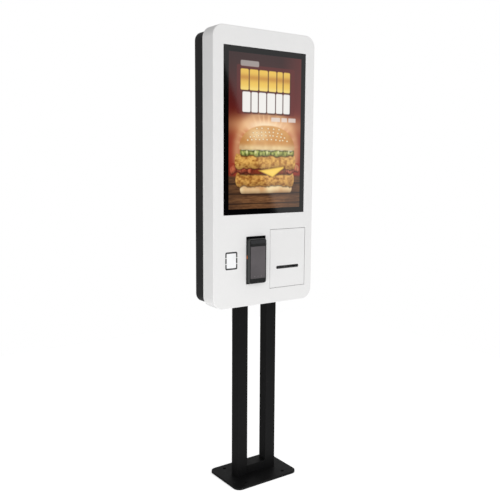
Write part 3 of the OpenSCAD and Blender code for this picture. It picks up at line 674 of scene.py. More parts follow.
def smooth(obj: bpy.types.Object, sharp: float = 35.0) -> None:
    """Shades an object smooth, with its large faces kept flat.

    Args:
        obj: The object.
        sharp: Angle in degrees above which an edge stays sharp.
    """
    obj.data.shade_smooth()
    obj.data.set_sharp_from_angle(angle=math.radians(sharp))
    mod = obj.modifiers.new("normals", "WEIGHTED_NORMAL")
    mod.mode = "FACE_AREA"
    mod.weight = 100
    mod.keep_sharp = True
    bake_modifiers(obj)


def bake_modifiers(obj: bpy.types.Object) -> None:
    """Turns an object's modifiers into its plain mesh and removes them.

    Args:
        obj: The object.
    """
    graph = bpy.context.evaluated_depsgraph_get()
    graph.update()
    mesh = bpy.data.meshes.new_from_object(obj.evaluated_get(graph), depsgraph=graph)
    old = obj.data
    obj.modifiers.clear()
    obj.data = mesh
    bpy.data.meshes.remove(old)


def place(obj: bpy.types.Object, body: str, slot: str, *nodes: str) -> bpy.types.Object:
    """Puts a piece on its body and hides the CAD nodes that it stands for.

    Args:
        obj: The piece.
        body: The CAD body that it moves with.
        slot: Name of a material slot; not used.
        *nodes: CAD nodes that it replaces.

    Returns:
        The piece.
    """
    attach(obj, body)
    if nodes:
        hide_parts(*nodes)
    LOG.info("piece %s on %s, %d faces", obj.name, body, len(obj.data.polygons))
    return obj


def dress(material: bpy.types.Material, *nodes: str) -> None:
    """Gives CAD nodes that stay a better material."""
    for node in nodes:
        mesh = frame["nodes"][node].data
        mesh.materials.clear()
        mesh.materials.append(material)


# ------------------------------------------------------------------ repeats


class Unit(Enum):
    """The small solid that a repeat is made of."""

    DISC = "disc"
    BAR = "bar"
    RING = "ring"


@dataclass
class Repeat:
    """A grid of small solids in the XZ plane, made by Geometry Nodes."""

    unit: Unit
    columns: int
    rows: int
    pitch_x: float
    pitch_z: float
    size: float
    depth: float
    length: float = 0.0
    turn: float = 0.0

    def tree(self, material: bpy.types.Material) -> bpy.types.NodeTree:
        """Builds the node tree with its named inputs.

        Args:
            material: Finish of the solids.

        Returns:
            The tree.
        """
        tree = bpy.data.node_groups.new(f"repeat_{self.unit.value}", "GeometryNodeTree")
        face = tree.interface
        for name in ("Pitch X", "Pitch Z", "Size", "Depth", "Length", "Turn"):
            face.new_socket(name, in_out="INPUT", socket_type="NodeSocketFloat")
        for name in ("Columns", "Rows"):
            face.new_socket(name, in_out="INPUT", socket_type="NodeSocketInt")
        face.new_socket("Geometry", in_out="OUTPUT", socket_type="NodeSocketGeometry")
        nodes, link = tree.nodes, tree.links.new
        ask = nodes.new("NodeGroupInput")
        give = nodes.new("NodeGroupOutput")

        def span(count: str, pitch: str) -> bpy.types.NodeSocket:
            """Works out a grid's side from its count and pitch.

            Args:
                count: Name of the input with the count.
                pitch: Name of the input with the pitch.

            Returns:
                The side's socket.
            """
            less = nodes.new("ShaderNodeMath")
            less.operation = "SUBTRACT"
            less.inputs[1].default_value = 1.0
            link(ask.outputs[count], less.inputs[0])
            times = nodes.new("ShaderNodeMath")
            times.operation = "MULTIPLY"
            link(less.outputs[0], times.inputs[0])
            link(ask.outputs[pitch], times.inputs[1])
            return times.outputs[0]

        grid = nodes.new("GeometryNodeMeshGrid")
        link(span("Columns", "Pitch X"), grid.inputs["Size X"])
        link(span("Rows", "Pitch Z"), grid.inputs["Size Y"])
        link(ask.outputs["Columns"], grid.inputs["Vertices X"])
        link(ask.outputs["Rows"], grid.inputs["Vertices Y"])
        spread = nodes.new("GeometryNodeInstanceOnPoints")
        link(grid.outputs["Mesh"], spread.inputs["Points"])
        link(self.solid(nodes, link, ask), spread.inputs["Instance"])
        spin = nodes.new("ShaderNodeCombineXYZ")
        link(ask.outputs["Turn"], spin.inputs["Z"])
        link(spin.outputs[0], spread.inputs["Rotation"])
        upright = nodes.new("GeometryNodeTransform")
        upright.inputs["Rotation"].default_value = (math.pi / 2, 0, 0)
        link(spread.outputs["Instances"], upright.inputs["Geometry"])
        real = nodes.new("GeometryNodeRealizeInstances")
        link(upright.outputs["Geometry"], real.inputs["Geometry"])
        finish = nodes.new("GeometryNodeSetMaterial")
        finish.inputs["Material"].default_value = material
        link(real.outputs["Geometry"], finish.inputs["Geometry"])
        link(finish.outputs["Geometry"], give.inputs["Geometry"])
        return tree

    def solid(self, nodes: bpy.types.Nodes, link: Callable, ask: bpy.types.Node) -> bpy.types.NodeSocket:
        """Adds the nodes of the small solid itself.

        Args:
            nodes: The tree's nodes.
            link: Joins two sockets.
            ask: The tree's input node.

        Returns:
            The solid's geometry.
        """
        if self.unit is Unit.BAR:
            made = nodes.new("GeometryNodeMeshCube")
            sides = nodes.new("ShaderNodeCombineXYZ")
            link(ask.outputs["Length"], sides.inputs["X"])
            link(ask.outputs["Size"], sides.inputs["Y"])
            link(ask.outputs["Depth"], sides.inputs["Z"])
            link(sides.outputs[0], made.inputs["Size"])
            return made.outputs["Mesh"]
        if self.unit is Unit.RING:
            loop = nodes.new("GeometryNodeCurvePrimitiveCircle")
            loop.inputs["Resolution"].default_value = 64
            link(ask.outputs["Size"], loop.inputs["Radius"])
            wire = nodes.new("GeometryNodeCurvePrimitiveCircle")
            wire.inputs["Resolution"].default_value = 12
            link(ask.outputs["Depth"], wire.inputs["Radius"])
            made = nodes.new("GeometryNodeCurveToMesh")
            link(loop.outputs["Curve"], made.inputs["Curve"])
            link(wire.outputs["Curve"], made.inputs["Profile Curve"])
            return made.outputs["Mesh"]
        made = nodes.new("GeometryNodeMeshCylinder")
        made.inputs["Vertices"].default_value = 24
        link(ask.outputs["Size"], made.inputs["Radius"])
        link(ask.outputs["Depth"], made.inputs["Depth"])
        return made.outputs["Mesh"]

    def piece(self, name: str, material: bpy.types.Material, centre: Sequence[float]) -> bpy.types.Object:
        """Makes the repeat as a plain mesh at its place.

        Args:
            name: The object's name.
            material: Its finish.
            centre: Middle of the grid.

        Returns:
            The object.
        """
        obj = bpy.data.objects.new(name, bpy.data.meshes.new(name))
        bpy.context.scene.collection.objects.link(obj)
        mod = obj.modifiers.new("repeat", "NODES")
        mod.node_group = self.tree(material)
        wanted = {"Columns": self.columns, "Rows": self.rows, "Pitch X": self.pitch_x,
                  "Pitch Z": self.pitch_z, "Size": self.size, "Depth": self.depth,
                  "Length": self.length, "Turn": self.turn}
        for item in mod.node_group.interface.items_tree:
            if item.in_out == "INPUT":
                mod[item.identifier] = wanted[item.name]
        bake_modifiers(obj)
        obj.data.transform(Matrix.Translation(Vector(centre)))
        obj.data.shade_smooth()
        obj.data.set_sharp_from_angle(angle=math.radians(35))
        return obj


def join(name: str, parts: Sequence[bpy.types.Object]) -> bpy.types.Object:
    """Joins pieces that share one material into one mesh.

    Args:
        name: Name of the result.
        parts: Objects at the origin.

    Returns:
        The joined object.
    """
    bm = bmesh.new()
    for part in parts:
        bm.from_mesh(part.data)
    for face in bm.faces:
        face.material_index = 0
    mesh = bpy.data.meshes.new(name)
    bm.to_mesh(mesh)
    bm.free()
    mesh.materials.append(parts[0].data.materials[0])
    for part in parts:
        bpy.data.objects.remove(part)
    obj = bpy.data.objects.new(name, mesh)
    bpy.context.scene.collection.objects.link(obj)
    smooth(obj)
    return obj


# ---------------------------------------------------------------- finishes


class Finishes:
    """Every finish of the kiosk, built once."""

    def __init__(self) -> None:
        """Builds the finishes by their slot names."""
        kinds = (
            PowderCoat("white_paint", (0.815, 0.812, 0.808), 0.38, mottle=0.008, dust=0.03),
            PowderCoat("black_paint", (0.0165, 0.0165, 0.017), 0.46, peel=34e-6, mottle=0.05, dust=0.008,
                       specular=0.2),
            Metal("zinc_steel", (0.56, 0.56, 0.55), 0.36, spangle=0.12),
            Metal("chrome", (0.78, 0.79, 0.80), 0.12, Axis.Y),
            PrintedGlass("screen_glass", (0.0012, 0.0012, 0.0014), 0.035),
            Plastic("milk_window", (0.93, 0.935, 0.94), 0.20, 500, 4e-6),
            Plastic("rubber", (0.022, 0.022, 0.023), 0.72, 1300, 24e-6),
            Metal("aluminium", (0.70, 0.71, 0.72), 0.30, Axis.X),
            CircuitBoard("circuit_board", (0.012, 0.105, 0.045)),
            Plastic("black_plastic", (0.020, 0.020, 0.022), 0.46, 1100, 20e-6),
            # The terminal's screen is unlit: its grey base colour is a painted reflection of the bright room
            # that it mirrors.
            PrintedGlass("terminal_glass", (0.105, 0.096, 0.100), 0.09, 0.03),
            Plastic("grey_plastic", (0.060, 0.063, 0.062), 0.50, 1000, 18e-6, 0.3),
            Plastic("orange_plastic", (0.78, 0.20, 0.035), 0.40, 1000, 8e-6),
            Plastic("ivory_plastic", (0.70, 0.66, 0.55), 0.45, 900, 12e-6),
            Metal("brass", (0.76, 0.56, 0.25), 0.26),
            Metal("blade_steel", (0.62, 0.63, 0.65), 0.20, Axis.X),
            Plastic("blue_plastic", (0.025, 0.11, 0.42), 0.42, 900, 12e-6),
            Plastic("green_plastic", (0.03, 0.30, 0.12), 0.42, 900, 12e-6),
            Plastic("red_plastic", (0.50, 0.03, 0.025), 0.42, 900, 12e-6),
            WoundPaper("paper", tuple((a + b) / 2 for a, b in zip(*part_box("paper_roll"))), 0.00012),
        )
        self.by_name = {kind.name: kind.build() for kind in kinds}
        stand = PowderCoat("stand_black", (0.0062, 0.0062, 0.0065), 0.44, peel=34e-6, mottle=0.06, dust=0.004,
                           specular=0.10)
        self.by_name["stand_black"] = stand.build()
        front = Plastic("terminal_front", (0.014, 0.0145, 0.0145), 0.30, 900, 5e-6, 0.35)
        self.by_name["terminal_front"] = front.build()
        icons = Plastic("screen_icons", (0.19, 0.18, 0.185), 0.3, 700, 2e-6)
        self.by_name["screen_icons"] = icons.build()

    def __getitem__(self, name: str) -> bpy.types.Material:
        """Gives a finish by name."""
        return self.by_name[name]

    def dress_frame(self) -> None:
        """Puts the finish of its slot on every CAD node."""
        for part in frame["record"]["subparts"]:
            dress(self[part["material_slot"]], part["node"])


# ------------------------------------------------------------------- stand


@dataclass
class Stand:
    """The floor plate, its two columns and the bar between them."""

    plate_radius: float = 28 * MM
    plate_edge: float = 1.6 * MM
    hole_x: float = 97.5 * MM
    hole_y: float = 80 * MM
    hole_radius: float = 6.5 * MM
    sink_radius: float = 8.6 * MM
    cable_radius: float = 12 * MM
    column_wall: float = 2.5 * MM
    column_radius: float = 2.2 * MM

    def __post_init__(self) -> None:
        """Reads the columns' place and size from the frame."""
        low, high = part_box("column_right")
        self.column_x = (low.x + high.x) / 2
        self.column_width = high.x - low.x
        self.column_depth = high.y - low.y

    def build(self, looks: Finishes) -> None:
        """Builds the stand's pieces.

        Args:
            looks: The kiosk's finishes.
        """
        place(self.floor_plate(looks["stand_black"]), "kiosk", "black_paint", "base_plate")
        for side, node in ((-1, "column_left"), (1, "column_right")):
            place(self.column(side, node, looks["stand_black"]), "kiosk", "black_paint", node)
        place(self.crossbar(looks["stand_black"]), "kiosk", "black_paint", "foot_crossbar")

    def floor_plate(self, finish: bpy.types.Material) -> bpy.types.Object:
        """Builds the plate with its soft edge and countersunk anchor holes.

        Args:
            finish: The finish that it gets.

        Returns:
            The piece.
        """
        low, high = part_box("base_plate")
        flat = Outline(0, (low.y + high.y) / 2, high.x - low.x, high.y - low.y, self.plate_radius)
        edge = self.plate_edge
        shape = Shape()
        rim = [(edge, high.z), (edge * 0.3, high.z - edge * 0.3), (0, high.z - edge),
               (0, low.z + edge * 0.4), (edge * 0.4, low.z)]
        shape.loft([[Vector((x, y, z)) for x, y in flat.inset(inset).points(10)] for inset, z in rim])
        anchors = [(sx * self.hole_x, sy * self.hole_y) for sx in (-1, 1) for sy in (-1, 1)]
        ducts = [(-self.column_x, 0.0), (self.column_x, 0.0)]
        sink = self.sink_radius - self.hole_radius
        for level, inset, first in ((high.z, edge, self.sink_radius), (low.z, edge * 0.4, self.hole_radius)):
            rings = [flat.inset(inset).points(10)]
            rings += [circle(x, y, first) for x, y in anchors]
            rings += [circle(x, y, self.cable_radius) for x, y in ducts]
            verts = [shape.bm.verts.new((x, y, level)) for ring in rings for x, y in ring]
            for tri in tessellate_polygon([[Vector((x, y, 0)) for x, y in ring] for ring in rings]):
                shape.bm.faces.new([verts[i] for i in tri])
        for x, y in anchors:
            walls = [(self.sink_radius, high.z), (self.hole_radius, high.z - sink), (self.hole_radius, low.z)]
            shape.loft([[Vector((px, py, z)) for px, py in circle(x, y, r)] for r, z in walls])
        for x, y in ducts:
            shape.loft([[Vector((px, py, z)) for px, py in circle(x, y, self.cable_radius)]
                        for z in (high.z, low.z)])
        return shape.piece("floor_plate", finish, sharp=50)

    def column(self, side: int, node: str, finish: bpy.types.Material) -> bpy.types.Object:
        """Builds one rectangular tube with its drawn corners.

        Args:
            side: -1 for the visitor's left, 1 for the right.
            node: The CAD node it stands for.
            finish: Its finish.

        Returns:
            The tube.
        """
        low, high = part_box(node)
        outer = Outline(side * self.column_x, 0, self.column_width, self.column_depth, self.column_radius)
        inner = outer.inset(self.column_wall)
        path = [(outer, low.z), (outer, high.z), (inner, high.z), (inner, low.z)]
        shape = Shape()
        shape.loft([[Vector((x, y, z)) for x, y in line.points(8)] for line, z in path], closed=True)
        return shape.piece(f"stand_column_{'left' if side < 0 else 'right'}", finish, sharp=60)

    def crossbar(self, finish: bpy.types.Material) -> bpy.types.Object:
        """Builds the low tube that joins the columns.

        Args:
            finish: The finish that it gets.

        Returns:
            The piece.
        """
        low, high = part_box("foot_crossbar")
        middle = ((low.y + high.y) / 2, (low.z + high.z) / 2)
        outer = Outline(*middle, high.y - low.y, high.z - low.z, self.column_radius)
        inner = outer.inset(self.column_wall)
        path = [(outer, low.x), (outer, high.x), (inner, high.x), (inner, low.x)]
        shape = Shape()
        shape.loft([[Vector((x, y, z)) for y, z in line.points(8)] for line, x in path], closed=True)
        return shape.piece("stand_crossbar", finish, sharp=60)


# ------------------------------------------------------------------- covers


def cut(obj: bpy.types.Object, shape: Shape) -> None:
    """Cuts a shape out of an object.

    Args:
        obj: The object that is cut.
        shape: The closed shape to take away.
    """
    bmesh.ops.recalc_face_normals(shape.bm, faces=shape.bm.faces)
    mesh = bpy.data.meshes.new("cutter")
    shape.bm.to_mesh(mesh)
    shape.bm.free()
    tool = bpy.data.objects.new("cutter", mesh)
    bpy.context.scene.collection.objects.link(tool)
    mod = obj.modifiers.new("cut", "BOOLEAN")
    mod.operation = "DIFFERENCE"
    mod.solver = "EXACT"
    mod.object = tool
    bake_modifiers(obj)
    bpy.data.objects.remove(tool)
    bpy.data.meshes.remove(mesh)
    smooth(obj)


def bowed(outline: Outline, radius: float, wall: float, front: float, back: float,
          flange: float) -> list[Point]:
    """Gives the section of a folded tray, from the inside of its face round to the inside of its wall.

    Args:
        outline: The tray's outline, used for its corner radius only.
        radius: Outer radius of the fold.
        wall: Sheet thickness.
        front: The y of the face.
        back: The y of the return flange's outer side.
        flange: How far the flange reaches in.

    Returns:
        Points of (inset, y).
    """
    fold = min(radius, outline.radius)
    steps = 6
    path = []
    for i in range(steps + 1):
        angle = math.pi / 2 * i / steps
        path.append((fold - fold * math.sin(angle), front + fold - fold * math.cos(angle)))
    for i in range(1, steps + 1):
        angle = math.pi / 2 * i / steps
        path.append((fold - fold * math.cos(angle), back - fold + fold * math.sin(angle)))
    path += [(wall + flange, back), (wall + flange, back - wall), (wall, back - wall), (wall, front + wall)]
    return path


@dataclass
class CoverShell:
    """The white tray that carries everything on the front."""

    radius: float = 46 * MM
    wall: float = 2 * MM
    fold: float = 3.2 * MM
    flange: float = 24 * MM
    lip: float = 0.45 * MM
    glass_fit: float = 0.5 * MM
    seat: float = 13 * MM
    seat_wall: float = 1.5 * MM
    bay: Outline = field(default_factory=lambda: Outline(-44.5 * MM, 947 * MM, 96 * MM, 194 * MM, 3 * MM))
    hatch: Outline = field(
        default_factory=lambda: Outline(118.5 * MM, 944 * MM, 185 * MM, 246 * MM, 1.2 * MM))
    grommet_y: float = -49 * MM

    def outline(self) -> Outline:
        """Gives the tray's outline."""
        return box_outline("front_cover", self.radius)

    def holes(self) -> list[Outline]:
        """Gives the outlines of the openings in the face.

        Returns:
            The outlines.
        """
        glass = box_outline("touch_glass", 1.2 * MM, self.glass_fit)
        window = box_outline("reader_window", 3 * MM)
        return [glass, window, self.bay, self.hatch]

    def build(self, looks: Finishes) -> None:
        """Builds the tray and its welded parts.

        Args:
            looks: The kiosk's finishes.
        """
        low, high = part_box("front_cover")
        outline = self.outline()
        front, back = -73 * MM, high.y
        front = min(low.y, front)
        path = bowed(outline, self.fold, self.wall, front, back, self.flange)
        shape = Shape().sweep(outline, path, closed=False, steps=16)
        inner_face = front + self.wall
        holes = self.holes()
        for y, ring, grow in ((front, outline.inset(path[0][0]), self.lip),
                              (inner_face, outline.inset(self.wall), 0.0)):
            rings = [ring.points(16)] + [hole.inset(-grow).points(8) for hole in holes]
            shape.pane(rings, y)
        for hole in holes:
            lip = self.lip
            wall = [(-lip, front), (-lip * 0.3, front + lip * 0.3), (0, front + lip), (0, inner_face)]
            shape.sweep(hole, wall, closed=False, steps=8)
        tray = shape.piece("front_tray", looks["white_paint"])
        cut(tray, self.underside_cuts(low.z, back))
        parts = [tray, self.glass_seat(looks["white_paint"], inner_face)]
        for node_z in (-1, 1):
            parts.append(self.hinge_tab(looks["white_paint"], node_z))
        place(join("front_cover_shell", parts), "kiosk", "white_paint", "front_cover")

    def underside_cuts(self, bottom: float, back: float) -> Shape:
        """Gives the cuts for the columns, the speakers and the cable.

        Args:
            bottom: The z of the underside.
            back: The y of the tray's back.

        Returns:
            The shape to take away.
        """
        tool = Shape()
        gap = 1 * MM
        for side, node in ((-1, "column_left"), (1, "column_right")):
            low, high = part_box(node)
            tool.block((low.x - gap, low.y - gap, bottom - 5 * MM),
                       (high.x + gap, back + 5 * MM, bottom + 30 * MM))
            for i in range(7):
                sx = side * 170 * MM + (-18 + 6 * i) * MM
                tool.block((sx - 1.5 * MM, -49 * MM, bottom - 2 * MM),
                           (sx + 1.5 * MM, -9 * MM, bottom + 5 * MM))
        tool.rod((0, self.grommet_y, bottom - 3 * MM), (0, self.grommet_y, bottom + 5 * MM), 14 * MM, 40)
        return tool

    def glass_seat(self, finish: bpy.types.Material, inner_face: float) -> bpy.types.Object:
        """Builds the folded seat that the glass is bonded to.

        Args:
            finish: The finish that it gets.
            inner_face: The y of the face's inner side.

        Returns:
            The piece.
        """
        glass = box_outline("touch_glass", 1.2 * MM, self.glass_fit)
        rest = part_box("display_gasket")[1].y
        path = [(0, inner_face), (0, rest), (self.seat, rest), (self.seat, rest + self.seat_wall),
                (-self.wall, rest + self.seat_wall), (-self.wall, inner_face)]
        return Shape().sweep(glass, path, steps=4).piece("glass_seat", finish)

    def hinge_tab(self, finish: bpy.types.Material, side: int) -> bpy.types.Object:
        """Builds one welded tab that holds the printer door's pivot.

        Args:
            finish: The finish that it gets.
            side: 1 for the upper tab, -1 for the lower.

        Returns:
            The piece.
        """
        pin_low, pin_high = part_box("door_pivot_pins")
        x, y = (pin_low.x + pin_high.x) / 2, (pin_low.y + pin_high.y) / 2
        z = self.hatch.z + side * (self.hatch.height / 2 + 6 * MM)
        tab = Outline(x, y, 12 * MM, 9 * MM, 3 * MM)
        loops = [[Vector((px, py, level)) for px, py in tab.points(6)] for level in (z - 3 * MM, z + 3 * MM)]
        shape = Shape().loft(loops)
        for loop in (loops[0], loops[1]):
            shape.bm.faces.new([shape.bm.verts.new(p) for p in loop])
        return shape.piece("hinge_tab", finish)


@dataclass
class RearShell:
    """The black housing behind the tray."""

    radius: float = 36 * MM
    wall: float = 1.5 * MM
    fold: float = 2.6 * MM
    door_hole: Outline = field(default_factory=lambda: Outline(0, 1285 * MM, 376 * MM, 576 * MM, 4 * MM))
    fan_z: float = 1725 * MM
    fan_hole: float = 43 * MM
    fan_screw: float = 41 * MM
    vent_z: float = 830 * MM
    vent_count: int = 6
    vent_pitch: float = 14 * MM

    def build(self, looks: Finishes) -> None:
        """Builds the housing with its openings.

        Args:
            looks: The kiosk's finishes.
        """
        low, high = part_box("rear_housing")
        outline = Outline(0, (low.z + high.z) / 2, high.x - low.x, high.z - low.z, self.radius)
        path = [(inset, low.y + high.y - y) for inset, y in
                bowed(outline, self.fold, self.wall, low.y, high.y, 16 * MM)]
        shape = Shape().sweep(outline, path, closed=False, steps=16)
        holes = [self.door_hole.points(8), circle(0, self.fan_z, self.fan_hole, 72)]
        for sx in (-1, 1):
            for sz in (-1, 1):
                holes.append(circle(sx * self.fan_screw, self.fan_z + sz * self.fan_screw, 2.3 * MM, 20))
        for i in range(self.vent_count):
            holes.append(Outline(0, self.vent_z + (i * self.vent_pitch) + 2.5 * MM, 160 * MM, 5 * MM,
                                 2.4 * MM).points(8))
        for y, inset in ((high.y, path[0][0]), (high.y - self.wall, self.wall)):
            rings = [outline.inset(inset).points(16)] + holes
            shape.pane(rings, y)
        for hole in holes:
            shape.loft([[Vector((x, y, z)) for x, z in hole] for y in (high.y, high.y - self.wall)])
        shell = shape.piece("rear_housing_shell", looks["black_paint"])
        tool = Shape()
        gap = 1 * MM
        for node in ("column_left", "column_right"):
            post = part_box(node)
            tool.block((post[0].x - gap, low.y - 5 * MM, low.z - 5 * MM),
                       (post[1].x + gap, post[1].y + gap, low.z + 30 * MM))
        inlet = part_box("power_inlet")
        tool.block((inlet[0].x - 0.2 * MM, inlet[0].y - 0.2 * MM, low.z - 3 * MM),
                   (inlet[1].x + 0.2 * MM, inlet[1].y + 0.2 * MM, low.z + 4 * MM))
        cut(shell, tool)
        place(shell, "kiosk", "black_paint", "rear_housing")


# ------------------------------------------------------------------ display


def linear(red: int, green: int, blue: int) -> np.ndarray:
    """Gives the linear values of a display colour."""
    values = np.array((red, green, blue), float) / 255
    return np.where(values <= 0.04045, values / 12.92, ((values + 0.055) / 1.055) ** 2.4)


class Poster:
    """The picture that the screen shows: a made-up burger offer without lettering."""

    def __init__(self, columns: int, rows: int, seed: int = 11) -> None:
        """Starts an empty picture.

        Args:
            columns: Points across.
            rows: Points down.
            seed: Seed of the mottling.
        """
        self.u, self.v = np.meshgrid(np.linspace(0, 1, columns), np.linspace(0, 1, rows))
        self.rgb = np.zeros((rows, columns, 3))
        self.random = np.random.default_rng(seed)
        self.edge = 0.6 / columns

    def cloud(self, across: int, down: int) -> np.ndarray:
        """Gives smooth noise from 0 to 1.

        Args:
            across: Cells across.
            down: Cells down.

        Returns:
            One value for each point.
        """
        grid = self.random.random((down + 2, across + 2))
        x, y = self.u * across, self.v * down
        i, j = x.astype(int), y.astype(int)
        a, b = x - i, y - j
        a, b = a * a * (3 - 2 * a), b * b * (3 - 2 * b)
        top = grid[j, i] * (1 - a) + grid[j, i + 1] * a
        low = grid[j + 1, i] * (1 - a) + grid[j + 1, i + 1] * a
        return top * (1 - b) + low * b

    def lay(self, mask: np.ndarray, colour: np.ndarray) -> None:
        """Lays a colour over the picture through a mask."""
        mask = np.clip(mask, 0, 1)[..., None]
        self.rgb = self.rgb * (1 - mask) + colour * mask

    def within(self, distance: np.ndarray, soft: float = 1.0) -> np.ndarray:
        """Turns a signed distance, negative inside, into a mask."""
        return np.clip(0.5 - distance / (2 * self.edge * soft), 0, 1)

    def block(self, left: float, top: float, right: float, bottom: float, radius: float) -> np.ndarray:
        """Gives the mask of a rounded block.

        Args:
            left: Its left edge.
            top: Its upper edge.
            right: Its right edge.
            bottom: Its lower edge.
            radius: Radius of its corners.

        Returns:
            The mask.
        """
        x = np.abs(self.u - (left + right) / 2) - (right - left) / 2 + radius
        y = (np.abs(self.v - (top + bottom) / 2) - (bottom - top) / 2) * 1.7 + radius
        outside = np.hypot(np.maximum(x, 0), np.maximum(y, 0)) + np.minimum(np.maximum(x, y), 0)
        return self.within(outside - radius)

    def band(self, top: np.ndarray | float, bottom: np.ndarray | float, left: float, right: float,
             round_off: float = 0.03) -> np.ndarray:
        """Gives the mask of a layer between two lines, with rounded ends.

        Args:
            top: The v of its upper line.
            bottom: The v of its lower line.
            left: Its left end.
            right: Its right end.
            round_off: How far its ends round off.

        Returns:
            The mask.
        """
        middle, half = (top + bottom) / 2, (bottom - top) / 2
        x = np.maximum(np.abs(self.u - (left + right) / 2) - (right - left) / 2 + round_off, 0) / round_off
        y = (self.v - middle) / half
        return self.within((np.sqrt(x * x + y * y) - 1) * half, 1.6)

    def backdrop(self) -> None:
        """Paints the deep red wall, its rays and the warm glow."""
        u, v = self.u, self.v
        self.rgb[:] = linear(46, 8, 6)
        self.lay(np.clip(v / 0.62, 0, 1) ** 1.5, linear(132, 32, 22))
        self.lay(0.35 * self.cloud(5, 8) * np.clip(v * 2, 0, 1), linear(60, 10, 8))
        self.lay(0.5 * np.clip((u - 0.72) * 3, 0, 1) * np.clip(1.2 - v, 0, 1), linear(124, 40, 36))
        halo = np.exp(-(((u - 0.52) / 0.47) ** 4 + ((v - 0.60) / 0.185) ** 4))
        self.lay(0.80 * halo, linear(206, 92, 52))
        angle, reach = np.arctan2(v - 0.62, (u - 0.52) * 0.6), np.hypot(v - 0.62, (u - 0.52) * 0.6)
        rays = (0.5 + 0.5 * np.sin(angle * 29 + 1.7 * np.sin(angle * 7))) ** 3
        self.lay(0.95 * rays * np.exp(-((reach - 0.17) / 0.055) ** 2) * (v < 0.62), linear(255, 214, 164))
        glow = np.exp(-(((u - 0.50) / 0.38) ** 2 + ((v - 0.456) / 0.054) ** 2))
        self.lay(0.95 * glow, linear(246, 184, 120))
        self.lay(0.80 * glow ** 2.5, linear(255, 238, 204))
        rim = np.exp(-((reach / 0.6 - 0.41) / 0.05) ** 2) * (v < 0.7)
        self.lay(0.35 * rim, linear(250, 206, 150))

    def header(self) -> None:
        """Paints the panel with two rows of plain tall blocks."""
        self.lay(0.6 * self.block(0.105, 0.075, 0.905, 0.385, 0.02), linear(100, 24, 20))
        self.lay(0.5 * self.block(0.155, 0.047, 0.40, 0.082, 0.015), linear(214, 204, 200))
        gold, deep, white = linear(238, 196, 84), linear(186, 120, 40), linear(240, 238, 234)
        rows = ((0.100, 0.232, gold, (0.155, 0.275, 0.405, 0.535, 0.655, 0.745, 0.850)),
                (0.243, 0.372, white, (0.180, 0.300, 0.400, 0.515, 0.640, 0.745, 0.850)))
        for top, bottom, colour, ends in rows:
            for left, right in zip(ends, ends[1:]):
                right -= 0.014
                self.lay(0.8 * self.block(left + 0.010, top + 0.007, right + 0.012, bottom + 0.008, 0.016),
                         linear(52, 10, 6))
                face = self.block(left, top, right, bottom, 0.016)
                self.lay(face, colour)
                fade = np.clip((self.v - top) / (bottom - top), 0, 1)
                if colour is gold:
                    self.lay(0.75 * face * np.exp(-((fade - 0.40) / 0.16) ** 2), deep)
                    self.lay(0.6 * face * np.exp(-((fade - 0.95) / 0.14) ** 2), linear(250, 226, 130))
        for left, right in ((0.575, 0.70), (0.72, 0.80), (0.82, 0.925)):
            self.lay(0.75 * self.block(left, 0.399, right, 0.426, 0.006), linear(232, 222, 214))

    def table(self) -> None:
        """Paints the dark wooden boards that the burger stands on."""
        u, v = self.u, self.v
        grain = self.cloud(9, 160) * 0.6 + self.cloud(30, 300) * 0.4
        boards = 0.5 + 0.5 * np.sin((v - 0.785) * 95)
        edge = self.within(0.785 + 0.006 * np.sin(u * 7) - v, 3)
        self.lay(edge, linear(70, 40, 22))
        self.lay(edge * grain * 0.9, linear(148, 102, 62))
        self.lay(edge * 0.7 * (boards < 0.06), linear(24, 12, 6))
        self.lay(edge * 0.55 * np.clip(np.abs(u - 0.5) * 2.2 - 0.35, 0, 1), linear(34, 22, 16))
        shadow = np.exp(-(((u - 0.52) / 0.36) ** 2 + ((v - 0.90) / 0.022) ** 2))
        self.lay(0.85 * shadow, linear(34, 18, 8))

    def bun(self) -> None:
        """Paints the crown of the bun with its seeds."""
        u, v = self.u, self.v
        wide, tall = 0.390, 0.152
        x = (u - 0.525) / wide
        crown = 0.608 - tall * np.clip(1 - np.abs(x) ** 2.3, 0, 1) ** 0.5
        mask = self.within(crown - v, 2) * self.within(v - 0.610, 2) * (np.abs(x) < 1)
        height = np.clip((0.608 - v) / tall, 0, 1)
        self.lay(mask, linear(206, 140, 66))
        self.lay(mask * np.clip(height * 1.3, 0, 1), linear(222, 168, 100))
        shine = np.exp(-((x + 0.35) ** 2 / 0.12 + (height - 0.62) ** 2 / 0.06))
        self.lay(mask * shine, linear(246, 214, 160))
        self.lay(mask * np.exp(-((height - 0.03) / 0.16) ** 2), linear(240, 212, 158))
        self.lay(mask * 0.28 * self.cloud(26, 44), linear(168, 100, 40))
        self.lay(mask * 0.7 * np.clip(np.abs(x) * 1.6 - 0.95, 0, 1), linear(150, 82, 34))
        for row, count in ((0.86, 5), (0.70, 8), (0.54, 10), (0.38, 11)):
            for i in range(count):
                sx = 0.525 + wide * (1.02 - row * 0.62) * ((i + 0.5) / count * 2 - 1)
                sx += 0.018 * (self.random.random() - 0.5)
                drop = row * (1 - 0.30 * ((sx - 0.525) / wide) ** 2)
                sz = 0.600 - tall * drop + 0.004 * self.random.random()
                spot = np.hypot((u - sx) * 0.75, (v - sz) * 1.7) - 0.0095
                self.lay(0.75 * mask * self.within(spot + 0.002 - 0.004, 1.2), linear(160, 96, 44))
                self.lay(mask * self.within(spot + 0.0015, 1.2), linear(250, 232, 190))

